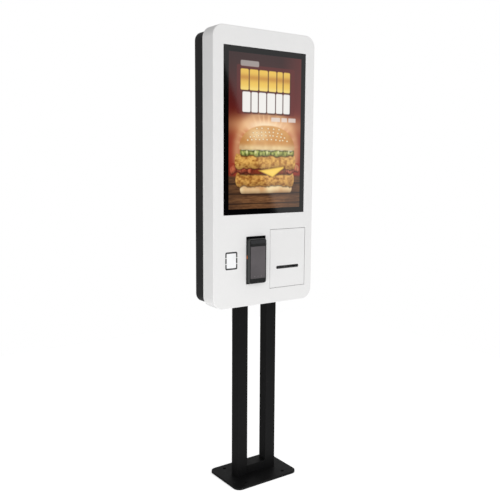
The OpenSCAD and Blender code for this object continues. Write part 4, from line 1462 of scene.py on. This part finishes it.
    def filling(self) -> None:
        """Paints the layers between the two halves of the bun, with a painted reflection of the glass's glare
        on their right side.
        """
        u = self.u
        wave = 0.006 * np.sin(u * 46) + 0.005 * np.sin(u * 23 + 1.3)
        rough = 0.016 * (self.cloud(14, 3) - 0.5) + 0.010 * (self.cloud(40, 3) - 0.5)
        layers = ((0.838, 0.897, 0.15, 0.88, (214, 164, 112), (248, 222, 172), (9, 12)),
                  (0.762 + rough, 0.850 + rough, 0.09, 0.91, (150, 92, 32), (228, 172, 88), (34, 76)),
                  (0.738, 0.772, 0.14, 0.88, (88, 30, 14), (150, 60, 30), (30, 20)),
                  (0.712 + wave, 0.760 + wave, 0.02, 0.30, (126, 34, 22), (206, 112, 76), (60, 40)),
                  (0.716 + wave, 0.760 + wave, 0.78, 0.985, (116, 34, 26), (202, 110, 82), (60, 40)),
                  (0.640 + rough, 0.736 + rough, 0.08, 0.93, (158, 98, 34), (230, 178, 92), (34, 76)),
                  (0.604 + wave, 0.650 - 0.6 * wave, 0.15, 0.91, (70, 92, 26), (196, 202, 112), (60, 50)),
                  (0.590, 0.614 + 0.5 * wave, 0.16, 0.90, (206, 206, 150), (250, 246, 224), (30, 10)))
        for top, bottom, left, right, dark, light, cells in layers:
            mask = self.band(top, bottom, left, right)
            self.lay(0.85 * self.band(top + 0.009, bottom + 0.009, left, right), linear(40, 16, 8))
            self.lay(mask, linear(*dark))
            speck = self.cloud(*cells) * 0.65 + self.cloud(cells[0] * 2, cells[1] * 2) * 0.35
            self.lay(mask * np.clip(speck * 1.9 - 0.40, 0, 1), linear(*light))
            low = np.clip((self.v - top) / (bottom - top), 0, 1)
            self.lay(0.55 * mask * np.clip(low * 2.4 - 1.5, 0, 1), linear(70, 32, 12))
            # Lighter towards the right and the top of each layer: painted reflection of the glare on the
            # screen's glass.
            self.lay(0.35 * mask * np.clip((u - 0.55) * 2, 0, 1) * (1 - low), linear(250, 214, 150))
        slice_top = 0.750 - (u - 0.42) * 0.075
        tongue = np.maximum(slice_top - self.v, (self.v - slice_top) - 0.055 + np.abs(u - 0.60) * 0.30)
        tongue = np.maximum(tongue, np.abs(u - 0.58) * 0.6 - 0.105)
        self.lay(0.8 * self.within(tongue - 0.004, 3), linear(90, 44, 10))
        self.lay(self.within(tongue, 2), linear(250, 206, 84))
        self.lay(0.6 * self.within(tongue + 0.012, 4), linear(255, 224, 120))
        for x in (0.24, 0.36, 0.52, 0.68, 0.83):
            drop = np.hypot(u - x, (self.v - 0.628) * 1.3) - 0.014
            self.lay(0.7 * self.within(drop, 2), linear(226, 224, 164))

    def paint(self) -> np.ndarray:
        """Paints the whole picture.

        Returns:
            Linear colours, row by row from the top.
        """
        self.backdrop()
        self.header()
        self.table()
        self.filling()
        self.bun()
        corner = np.hypot((self.u - 0.5) * 1.1, self.v - 0.5)
        self.rgb *= (1 - 0.35 * np.clip(corner - 0.35, 0, 1))[..., None]
        return self.rgb


@dataclass
class Display:
    """The touch glass and the picture behind it."""

    width: float = 355 * MM
    height: float = 603 * MM
    columns: int = 200
    rows: int = 330
    edge: float = 0.5 * MM

    def build(self, looks: Finishes) -> None:
        """Builds the glass and the lit picture.

        Args:
            looks: The kiosk's finishes.
        """
        low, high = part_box("touch_glass")
        glass = box_outline("touch_glass", 1.0 * MM)
        edge = self.edge
        path = [(edge, low.y), (edge * 0.3, low.y + edge * 0.3), (0, low.y + edge), (0, high.y - edge),
                (edge, high.y)]
        shape = Shape().sweep(glass, path, closed=False, steps=4)
        for y in (low.y, high.y):
            shape.bm.faces.new([shape.bm.verts.new((x, y, z)) for x, z in glass.inset(edge).points(4)])
        place(shape.piece("touch_glass_slab", looks["screen_glass"]), "kiosk", "screen_glass", "touch_glass")
        place(self.picture(glass, low.y), "kiosk", "screen_glass")

    def picture(self, glass: Outline, front: float) -> bpy.types.Object:
        """Builds the picture as a thin sheet with painted points.

        Args:
            glass: Outline of the glass.
            front: The y of the glass's face.

        Returns:
            The sheet.
        """
        y = front - 0.06 * MM
        xs = glass.x + np.linspace(-0.5, 0.5, self.columns) * self.width
        zs = glass.z + np.linspace(0.5, -0.5, self.rows) * self.height
        verts = [(x, y, z) for z in zs for x in xs]
        faces = [(r * self.columns + c, (r + 1) * self.columns + c, (r + 1) * self.columns + c + 1,
                  r * self.columns + c + 1) for r in range(self.rows - 1) for c in range(self.columns - 1)]
        mesh = bpy.data.meshes.new("lit_picture")
        mesh.from_pydata(verts, [], faces)
        paint = mesh.color_attributes.new("picture", "FLOAT_COLOR", "POINT")
        values = np.ones((len(verts), 4), np.float32)
        values[:, :3] = Poster(self.columns, self.rows).paint().reshape(-1, 3)
        paint.data.foreach_set("color", values.ravel())
        mesh.materials.append(LitPicture("lit_picture", "picture").build())
        obj = bpy.data.objects.new("lit_picture", mesh)
        bpy.context.scene.collection.objects.link(obj)
        return obj


# ------------------------------------------------------------- front panel


@dataclass
class CodeReader:
    """The code reader's milky window and the black marks around it."""

    line: float = 6 * MM
    gap: float = 3 * MM
    radius: float = 7 * MM
    proud: float = 0.2 * MM

    def build(self, looks: Finishes) -> None:
        """Builds the window and its outline.

        Args:
            looks: The kiosk's finishes.
        """
        low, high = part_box("reader_window")
        pane = box_outline("reader_window", 2.8 * MM)
        path = [(0.5 * MM, low.y + 0.1 * MM), (0.15 * MM, low.y + 0.2 * MM), (0, low.y + 0.6 * MM),
                (0, high.y)]
        shape = Shape().sweep(pane, path, closed=False, steps=8)
        for inset, y in (path[0], path[-1]):
            shape.bm.faces.new([shape.bm.verts.new((x, y, z)) for x, z in pane.inset(inset).points(8)])
        place(shape.piece("reader_pane", looks["milk_window"]), "kiosk", "milk_window", "reader_window")
        place(self.marks(looks["black_plastic"]), "kiosk", "black_plastic", "reader_outline")

    def marks(self, finish: bpy.types.Material) -> bpy.types.Object:
        """Builds the four corner marks with their soft edges.

        Args:
            finish: The finish that it gets.

        Returns:
            The piece.
        """
        low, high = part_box("reader_outline")
        around = box_outline("reader_outline", self.radius)
        front = low.y - self.proud
        path = [(0, high.y), (0, front + 0.15 * MM), (0.15 * MM, front), (self.line - 0.15 * MM, front),
                (self.line, front + 0.15 * MM), (self.line, high.y)]
        ring = Shape().sweep(around, path, steps=8).piece("reader_marks", finish)
        tool = Shape()
        for side in (-1, 1):
            z = around.z + side * around.height / 6
            half = self.gap / 2
            tool.block((around.x - 60 * MM, front - 5 * MM, z - half),
                       (around.x + 60 * MM, high.y + 5 * MM, z + half))
        cut(ring, tool)
        return ring


@dataclass
class PaymentTerminal:
    """The card terminal that stands in the bay."""

    radius: float = 10 * MM
    roll: float = 5.5 * MM
    screen: tuple[float, float] = (74 * MM, 131 * MM)

    def build(self, looks: Finishes) -> None:
        """Builds the terminal's pieces.

        Args:
            looks: The kiosk's finishes.
        """
        case = self.body(looks["grey_plastic"], looks["terminal_front"])
        place(case, "kiosk", "grey_plastic", "terminal_body")
        place(self.display(looks["terminal_glass"]), "kiosk", "terminal_glass", "terminal_display")
        place(self.pad(looks["black_plastic"]), "kiosk", "black_plastic", "terminal_reader_pad")
        place(self.key(looks["orange_plastic"]), "terminal_side_key", "orange_plastic", "terminal_side_key")
        place(self.marks(looks["screen_icons"]), "kiosk", "terminal_glass")
        place(self.grille(looks["black_plastic"]), "kiosk", "black_plastic")

    def body(self, finish: bpy.types.Material, front: bpy.types.Material) -> bpy.types.Object:
        """Builds the rounded body with its screen well.

        Args:
            finish: Finish of the sides and the back.
            front: Finish of the face.

        Returns:
            The body.
        """
        low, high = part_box("terminal_body")
        around = box_outline("terminal_body", self.radius)
        roll, steps = self.roll, 6
        path = []
        for i in range(steps + 1):
            angle = math.pi / 2 * i / steps
            path.append((roll * 0.55 * (1 - math.sin(angle)), low.y + roll * (1 - math.cos(angle))))
        path += [(0, high.y - 4 * MM), (1.2 * MM, high.y - 1.2 * MM), (4 * MM, high.y)]
        shape = Shape().sweep(around, path, closed=False, steps=10)
        for inset, y in (path[0], path[-1]):
            shape.bm.faces.new([shape.bm.verts.new((x, y, z)) for x, z in around.inset(inset).points(10)])
        body = shape.piece("terminal_case", finish)
        tool = Shape()
        well = box_outline("terminal_display", 1.5 * MM, 0.2 * MM)
        head = box_outline("terminal_reader_pad", 3.2 * MM, 0.2 * MM)
        for hole, depth in ((well, 1.4 * MM), (head, 0.8 * MM)):
            loops = [[Vector((x, y, z)) for x, z in hole.points(6)] for y in (low.y - 3 * MM, low.y + depth)]
            tool.loft(loops)
            for loop in loops:
                tool.bm.faces.new([tool.bm.verts.new(p) for p in loop])
        bmesh.ops.remove_doubles(tool.bm, verts=tool.bm.verts, dist=1e-6)
        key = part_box("terminal_side_key")
        tool.block((low.x - 3 * MM, key[0].y - 0.3 * MM, key[0].z - 0.3 * MM),
                   (low.x + 4 * MM, key[1].y + 0.3 * MM, key[1].z + 0.3 * MM))
        middle = (low.x + high.x) / 2
        tool.block((middle - 28 * MM, low.y + 9 * MM, low.z - 5 * MM), (middle + 28 * MM, low.y + 11.4 * MM,
                                                                      low.z + 40 * MM))
        cut(body, tool)
        body.data.materials.append(front)
        for face in body.data.polygons:
            if face.normal.y < -0.55:
                face.material_index = 1
        return body

    def display(self, finish: bpy.types.Material) -> bpy.types.Object:
        """Builds the terminal's own screen.

        Args:
            finish: The finish that it gets.

        Returns:
            The piece.
        """
        low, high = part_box("terminal_display")
        pane = box_outline("terminal_display", 1.4 * MM)
        path = [(0.3 * MM, low.y), (0, low.y + 0.3 * MM), (0, high.y)]
        shape = Shape().sweep(pane, path, closed=False, steps=6)
        for inset, y in (path[0], path[-1]):
            shape.bm.faces.new([shape.bm.verts.new((x, y, z)) for x, z in pane.inset(inset).points(6)])
        return shape.piece("terminal_screen", finish)

    def pad(self, finish: bpy.types.Material) -> bpy.types.Object:
        """Builds the contactless reading field.

        Args:
            finish: The finish that it gets.

        Returns:
            The piece.
        """
        low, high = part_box("terminal_reader_pad")
        pane = box_outline("terminal_reader_pad", 3 * MM)
        path = [(0.25 * MM, low.y), (0, low.y + 0.25 * MM), (0, high.y)]
        shape = Shape().sweep(pane, path, closed=False, steps=6)
        for inset, y in (path[0], path[-1]):
            shape.bm.faces.new([shape.bm.verts.new((x, y, z)) for x, z in pane.inset(inset).points(6)])
        return shape.piece("terminal_reading_field", finish)

    def key(self, finish: bpy.types.Material) -> bpy.types.Object:
        """Builds the orange side key with its crowned top.

        Args:
            finish: The finish that it gets.

        Returns:
            The piece.
        """
        low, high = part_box("terminal_side_key")
        middle_y, middle_z = (low.y + high.y) / 2, (low.z + high.z) / 2
        around = Outline(middle_y, middle_z, high.y - low.y, high.z - low.z, 1.6 * MM)
        loops = [[Vector((x, y, z)) for y, z in around.inset(inset).points(6)]
                 for x, inset in ((high.x, 0), (low.x + 0.7 * MM, 0), (low.x + 0.2 * MM, 0.3 * MM),
                                  (low.x, 0.9 * MM))]
        shape = Shape().loft(loops)
        for loop in (loops[0], loops[-1]):
            shape.bm.faces.new([shape.bm.verts.new(p) for p in loop])
        return shape.piece("terminal_orange_key", finish, sharp=50)

    def marks(self, finish: bpy.types.Material) -> bpy.types.Object:
        """Lays the faint navigation marks under the terminal's screen.

        Args:
            finish: The finish that it gets.

        Returns:
            The piece.
        """
        low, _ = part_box("terminal_display")
        y = low.y - 0.03 * MM
        middle = (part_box("terminal_display")[0].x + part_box("terminal_display")[1].x) / 2
        z = low.z + 9 * MM
        shape = Shape()
        ring = [(circle(middle, z, 2.4 * MM), circle(middle, z, 1.9 * MM))]
        square = Outline(middle + 17 * MM, z, 4.2 * MM, 4.2 * MM, 0.6 * MM)
        ring.append((square.points(6), square.inset(0.5 * MM).points(6)))
        for outer, inner in ring:
            shape.plate(outer, [inner], y, y + 0.02 * MM)
        left = middle - 17 * MM
        arrow = [(left + 2 * MM, z + 2.4 * MM), (left - 2.2 * MM, z), (left + 2 * MM, z - 2.4 * MM)]
        shape.plate(arrow, [], y, y + 0.02 * MM)
        return shape.piece("terminal_marks", finish)

    def grille(self, finish: bpy.types.Material) -> bpy.types.Object:
        """Makes the small holes of the terminal's speaker as dark discs: painted shade where the holes'
        insides would be, with no holes cut.

        Args:
            finish: The finish that it gets.

        Returns:
            The piece.
        """
        low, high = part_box("terminal_body")
        # Dark discs laid on the face: painted shade standing for the speaker holes.
        holes = Repeat(Unit.DISC, 9, 2, 2.4 * MM, 2.2 * MM, 0.6 * MM, 0.12 * MM)
        middle = (low.x + high.x) / 2
        return holes.piece("terminal_speaker_hole_shade", finish, (middle, low.y + 0.02 * MM, low.z + 8 * MM))


@dataclass
class PrinterDoor:
    """The hinged door in front of the ticket printer."""

    wall: float = 2 * MM
    fold: float = 1.1 * MM
    radius: float = 1.4 * MM
    slot: tuple[float, float] = (118.5 * MM, 13 * MM)
    mouth: tuple[float, float] = (113 * MM, 5 * MM)

    def build(self, looks: Finishes) -> None:
        """Builds the door and its mouth.

        Args:
            looks: The kiosk's finishes.
        """
        low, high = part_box("printer_door")
        leaf = box_outline("printer_door", self.radius)
        bezel_low, bezel_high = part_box("slot_bezel")
        slot_z = (bezel_low.z + bezel_high.z) / 2
        slot = Outline(leaf.x, slot_z, *self.slot, self.slot[1] / 2 - 0.1 * MM)
        place(self.door(leaf, slot, low.y, high.y, looks["white_paint"]), "printer_door", "white_paint",
              "printer_door")
        mouth = Outline(leaf.x, slot_z, *self.mouth, 2 * MM)
        place(self.bezel(slot, mouth, bezel_low.y, bezel_high.y, looks["black_plastic"]), "printer_door",
              "black_plastic", "slot_bezel")

    def door(self, leaf: Outline, slot: Outline, front: float, back: float,
             finish: bpy.types.Material) -> bpy.types.Object:
        """Builds the folded door with the slot in it.

        Args:
            leaf: The door's outline.
            slot: The slot's outline.
            front: The y of its front.
            back: The y of its folded edge.
            finish: The finish that it gets.

        Returns:
            The piece.
        """
        fold, steps = self.fold, 5
        path = []
        for i in range(steps + 1):
            angle = math.pi / 2 * i / steps
            path.append((fold * (1 - math.sin(angle)), front + fold * (1 - math.cos(angle))))
        path += [(0, back), (self.wall, back), (self.wall, front + self.wall)]
        shape = Shape().sweep(leaf, path, closed=False, steps=4)
        lip = 0.5 * MM
        for y, inset, grow in ((front, fold, lip), (front + self.wall, self.wall, 0.0)):
            rings = [leaf.inset(inset).points(4), slot.inset(-grow).points(12)]
            shape.pane(rings, y)
        shape.sweep(slot, [(-lip, front), (-lip * 0.3, front + lip * 0.3), (0, front + lip),
                           (0, front + self.wall)], closed=False, steps=12)
        return shape.piece("printer_door_leaf", finish)

    def bezel(self, slot: Outline, mouth: Outline, front: float, back: float,
              finish: bpy.types.Material) -> bpy.types.Object:
        """Builds the funnel that leads the ticket out.

        Args:
            slot: The slot's outline.
            mouth: Outline of the funnel's narrow end.
            front: The y of its wide end.
            back: The y of its narrow end.
            finish: The finish that it gets.

        Returns:
            The piece.
        """
        steps = 12
        around = Outline(slot.x, slot.z, slot.width + 14 * MM, slot.height + 12 * MM, slot.radius)
        neck = Outline(mouth.x, mouth.z, mouth.width + 6 * MM, mouth.height + 5 * MM, mouth.radius)
        path = [(mouth, back), (mouth, front + 2.2 * MM), (slot, front + 0.01 * MM), (around, front),
                (around, front + 2 * MM), (neck, front + 2 * MM), (neck, back)]
        shape = Shape()
        shape.loft([[Vector((x, y, z)) for x, z in line.points(steps)] for line, y in path], closed=True)
        return shape.piece("slot_funnel", finish, sharp=28)


# --------------------------------------------------------------------- rear


def soften(width: float, *nodes: str) -> None:
    """Rounds the sharp edges of CAD nodes that stay, as a deburred part has them.

    Args:
        width: Width of the rounding.
        *nodes: The nodes.
    """
    for node in nodes:
        obj = frame["nodes"][node]
        weld = obj.modifiers.new("merge", "WELD")
        weld.merge_threshold = 2e-6
        edge = obj.modifiers.new("edge", "BEVEL")
        edge.width = width
        edge.segments = 2
        edge.limit_method = "ANGLE"
        edge.angle_limit = math.radians(50)


@dataclass
class FanGuard:
    """The wire guard over the fan's opening."""

    radii: tuple[float, ...] = (10 * MM, 20 * MM, 30 * MM, 40 * MM)
    wire: float = 0.7 * MM
    pad: float = 4 * MM
    hub: float = 6 * MM

    def build(self, looks: Finishes) -> None:
        """Builds the guard from bent wires and its four screwed eyes.

        Args:
            looks: The kiosk's finishes.
        """
        low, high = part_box("fan_guard")
        x, z = (low.x + high.x) / 2, (low.z + high.z) / 2
        reach = (high.x - low.x) / 2 - self.pad
        finish = looks["zinc_steel"]
        parts = []
        for radius in self.radii:
            ring = Repeat(Unit.RING, 1, 1, 0.0, 0.0, radius, self.wire)
            parts.append(ring.piece("guard_ring", finish, (x, low.y + self.wire, z)))
        spokes = Shape()
        y = low.y + 2.4 * self.wire
        for sx in (-1, 1):
            for sz in (-1, 1):
                start = (x + sx * self.hub, y, z + sz * self.hub)
                end = (x + sx * reach, y, z + sz * reach)
                spokes.rod(start, end, self.wire, 12)
        parts.append(spokes.piece("guard_spokes", finish))
        eyes = Repeat(Unit.DISC, 2, 2, 2 * reach, 2 * reach, self.pad, high.y - low.y - 0.2 * MM)
        parts.append(eyes.piece("guard_eyes", finish, (x, (low.y + high.y) / 2, z)))
        place(join("fan_guard_wires", parts), "kiosk", "zinc_steel", "fan_guard")


@dataclass
class Grille:
    """The fine dust mesh behind the low vents."""

    pitch: float = 3.2 * MM
    wire: float = 0.5 * MM
    width: float = 166 * MM
    height: float = 84 * MM
    middle_z: float = 867.5 * MM
    inset: float = 2.6 * MM

    def build(self, looks: Finishes) -> None:
        """Builds the dust mesh behind the low vents.

        Args:
            looks: The kiosk's finishes.
        """
        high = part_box("rear_housing")[1]
        columns, rows = int(self.width / self.pitch), int(self.height / self.pitch)
        upright = Repeat(Unit.BAR, columns, 1, self.pitch, 0.0, self.height, self.wire, self.wire)
        cross = Repeat(Unit.BAR, 1, rows, 0.0, self.pitch, self.wire, self.wire, self.width)
        y, z = high.y - self.inset, self.middle_z
        parts = [upright.piece("mesh_up", looks["black_plastic"], (0, y, z)),
                 cross.piece("mesh_cross", looks["black_plastic"], (0, y, z))]
        place(join("vent_dust_mesh", parts), "kiosk", "black_plastic")


# ------------------------------------------------------------------- studio


@dataclass
class Studio:
    """The floor, the light and the camera."""

    eye: tuple[float, float, float] = (-1.61103, -2.26532, 1.33597)
    yaw: float = math.radians(-35.03)
    pitch: float = math.radians(7.38)
    roll: float = math.radians(0.31)
    lens: float = 48.277
    sky: float = 0.64
    lean: float = 0.40
    towards: tuple[float, float, float] = (0.5, -0.866, 0.0)
    floor_reach: float = 2.4
    floor_glow: float = 0.58
    fill_power: float = 12.5
    screen_y: float = -73 * MM
    flag_y: float = -2.0
    glare_top: tuple[float, float] = (-0.199, 1.7037)
    glare_foot: tuple[float, float] = (0.0604, 1.1333)
    glare_free: tuple[float, float] = (-0.171, 1.193)

    def axes(self) -> tuple[Vector, Vector, Vector]:
        """Gives the camera's right, up and forward directions.

        Returns:
            The three unit directions.
        """
        cy, sy = math.cos(self.yaw), math.sin(self.yaw)
        cp, sp = math.cos(self.pitch), math.sin(self.pitch)
        forward = Vector((-sy * cp, cy * cp, -sp))
        right = Vector((cy, sy, 0))
        up = right.cross(forward)
        cr, sr = math.cos(self.roll), math.sin(self.roll)
        return right * cr + up * sr, -right * sr + up * cr, forward

    def build(self) -> None:
        """Builds everything around the kiosk."""
        self.camera()
        self.world()
        self.floor()
        self.flag()
        self.fill_light()
        bpy.context.scene.view_settings.view_transform = "Standard"

    def camera(self) -> None:
        """Places the camera."""
        right, up, forward = self.axes()
        data = bpy.data.cameras.new("camera")
        data.lens = self.lens
        data.sensor_width = 36
        data.clip_end = 100
        obj = bpy.data.objects.new("camera", data)
        turn = Matrix((right, up, -forward)).transposed().to_4x4()
        obj.matrix_world = Matrix.Translation(Vector(self.eye)) @ turn
        bpy.context.scene.collection.objects.link(obj)
        bpy.context.scene.camera = obj

    def world(self) -> None:
        """Lights the scene softly from all round, a little more from the front."""
        world = bpy.data.worlds.new("studio")
        bpy.context.scene.world = world
        world.use_nodes = True
        nodes, link = world.node_tree.nodes, world.node_tree.links.new
        nodes.clear()
        out = nodes.new("ShaderNodeOutputWorld")
        pick = nodes.new("ShaderNodeMixShader")
        path = nodes.new("ShaderNodeLightPath")
        seen = nodes.new("ShaderNodeBackground")
        soft = nodes.new("ShaderNodeBackground")
        place_node = nodes.new("ShaderNodeTexCoord")
        dot = nodes.new("ShaderNodeVectorMath")
        dot.operation = "DOT_PRODUCT"
        dot.inputs[1].default_value = self.towards
        lean = nodes.new("ShaderNodeMath")
        lean.operation = "MULTIPLY_ADD"
        lean.inputs[1].default_value = self.lean
        lean.inputs[2].default_value = self.sky
        seen.inputs["Color"].default_value = (1, 1, 1, 1)
        soft.inputs["Color"].default_value = (1.0, 1.0, 1.0, 1)
        link(place_node.outputs["Generated"], dot.inputs[0])
        link(dot.outputs["Value"], lean.inputs[0])
        link(lean.outputs[0], soft.inputs["Strength"])
        link(path.outputs["Is Camera Ray"], pick.inputs["Fac"])
        link(soft.outputs[0], pick.inputs[1])
        link(seen.outputs[0], pick.inputs[2])
        link(pick.outputs[0], out.inputs["Surface"])

    def floor(self) -> None:
        """Lays the pale floor."""
        mesh = bpy.data.meshes.new("floor")
        reach = self.floor_reach
        mesh.from_pydata([(-reach, -reach, 0), (reach, -reach, 0), (reach, reach, 0), (-reach, reach, 0)], [],
                         [(0, 1, 2, 3)])
        g = Graph("pale_floor")
        g.colour(g.ramp(g.noise(0.7), 0.3, 0.7, ((0.80, 0.80, 0.80), (0.82, 0.82, 0.82))))
        g.value("Roughness", 0.8)
        g.value("Specular IOR Level", 0.1)
        g.value("Emission Color", (1, 1, 1, 1))
        g.value("Emission Strength", self.floor_glow)
        mesh.materials.append(g.material)
        obj = bpy.data.objects.new("floor", mesh)
        obj.visible_glossy = False
        bpy.context.scene.collection.objects.link(obj)

    def mirrored(self, x: float, z: float, flag_y: float) -> Vector:
        """Follows the line from the camera to a point of the glass after the glass mirrors it.

        Args:
            x: The x of the point on the glass.
            z: Its z.
            flag_y: The y of the plane it is followed to.

        Returns:
            The point reached.
        """
        hit = Vector((x, self.screen_y, z))
        ray = hit - Vector(self.eye)
        bounce = Vector((ray.x, -ray.y, ray.z))
        return hit + bounce * ((flag_y - self.screen_y) / bounce.y)

    def flag(self) -> None:
        """Hangs a black card that only reflections see, so that one corner of the glass glares."""
        a = self.mirrored(*self.glare_top, self.flag_y)
        b = self.mirrored(*self.glare_foot, self.flag_y)
        along = (b - a).normalized()
        side = Vector((along.z, 0, -along.x))
        if side.dot(self.mirrored(*self.glare_free, self.flag_y) - a) < 0:
            side = -side
        far = [a - along * 0.9, b + along * 0.9, b + along * 0.9 + side * 1.6, a - along * 0.9 + side * 1.6]
        mesh = bpy.data.meshes.new("flag")
        mesh.from_pydata([tuple(p) for p in far], [], [(0, 1, 2, 3)])
        g = Graph("black_card")
        g.colour(g.ramp(g.noise(3.0), 0.3, 0.7, ((0.0, 0.0, 0.0), (0.002, 0.002, 0.002))))
        g.value("Roughness", 1.0)
        g.value("Specular IOR Level", 0.0)
        mesh.materials.append(g.material)
        obj = bpy.data.objects.new("flag", mesh)
        bpy.context.scene.collection.objects.link(obj)
        obj.visible_camera = False
        obj.visible_diffuse = False
        obj.visible_shadow = False
        obj.visible_transmission = False

    def fill_light(self) -> None:
        """Adds a weak low light that lifts the lower half of the front."""
        data = bpy.data.lights.new("low_fill", "AREA")
        data.energy = self.fill_power
        data.shape = "RECTANGLE"
        data.size = 1.6
        data.size_y = 0.8
        obj = bpy.data.objects.new("low_fill", data)
        obj.visible_glossy = False
        start, end = Vector((-1.9, -0.95, 0.30)), Vector((0, 0, 0.75))
        turn = (end - start).to_track_quat("-Z", "Y").to_matrix().to_4x4()
        obj.matrix_world = Matrix.Translation(start) @ turn
        bpy.context.scene.collection.objects.link(obj)


# --------------------------------------------------------------------- main


def main() -> None:
    """Builds the kiosk and its studio."""
    logging.basicConfig(level=logging.INFO, format="%(message)s")
    studio = Studio()
    studio.build()
    looks = Finishes()
    looks.dress_frame()
    parts = (Stand(), CoverShell(), RearShell(), Display(), CodeReader(), PaymentTerminal(), PrinterDoor(),
             FanGuard(), Grille())
    for part in parts:
        part.build(looks)
    soften(0.35 * MM, "service_door", "service_hinge_leaves", "lock_barrel", "power_inlet", "power_rocker",
           "printer_frame", "feed_motor", "latch_body", "terminal_cradle", "main_board", "power_supply")


if __name__ == "__main__":
    main()
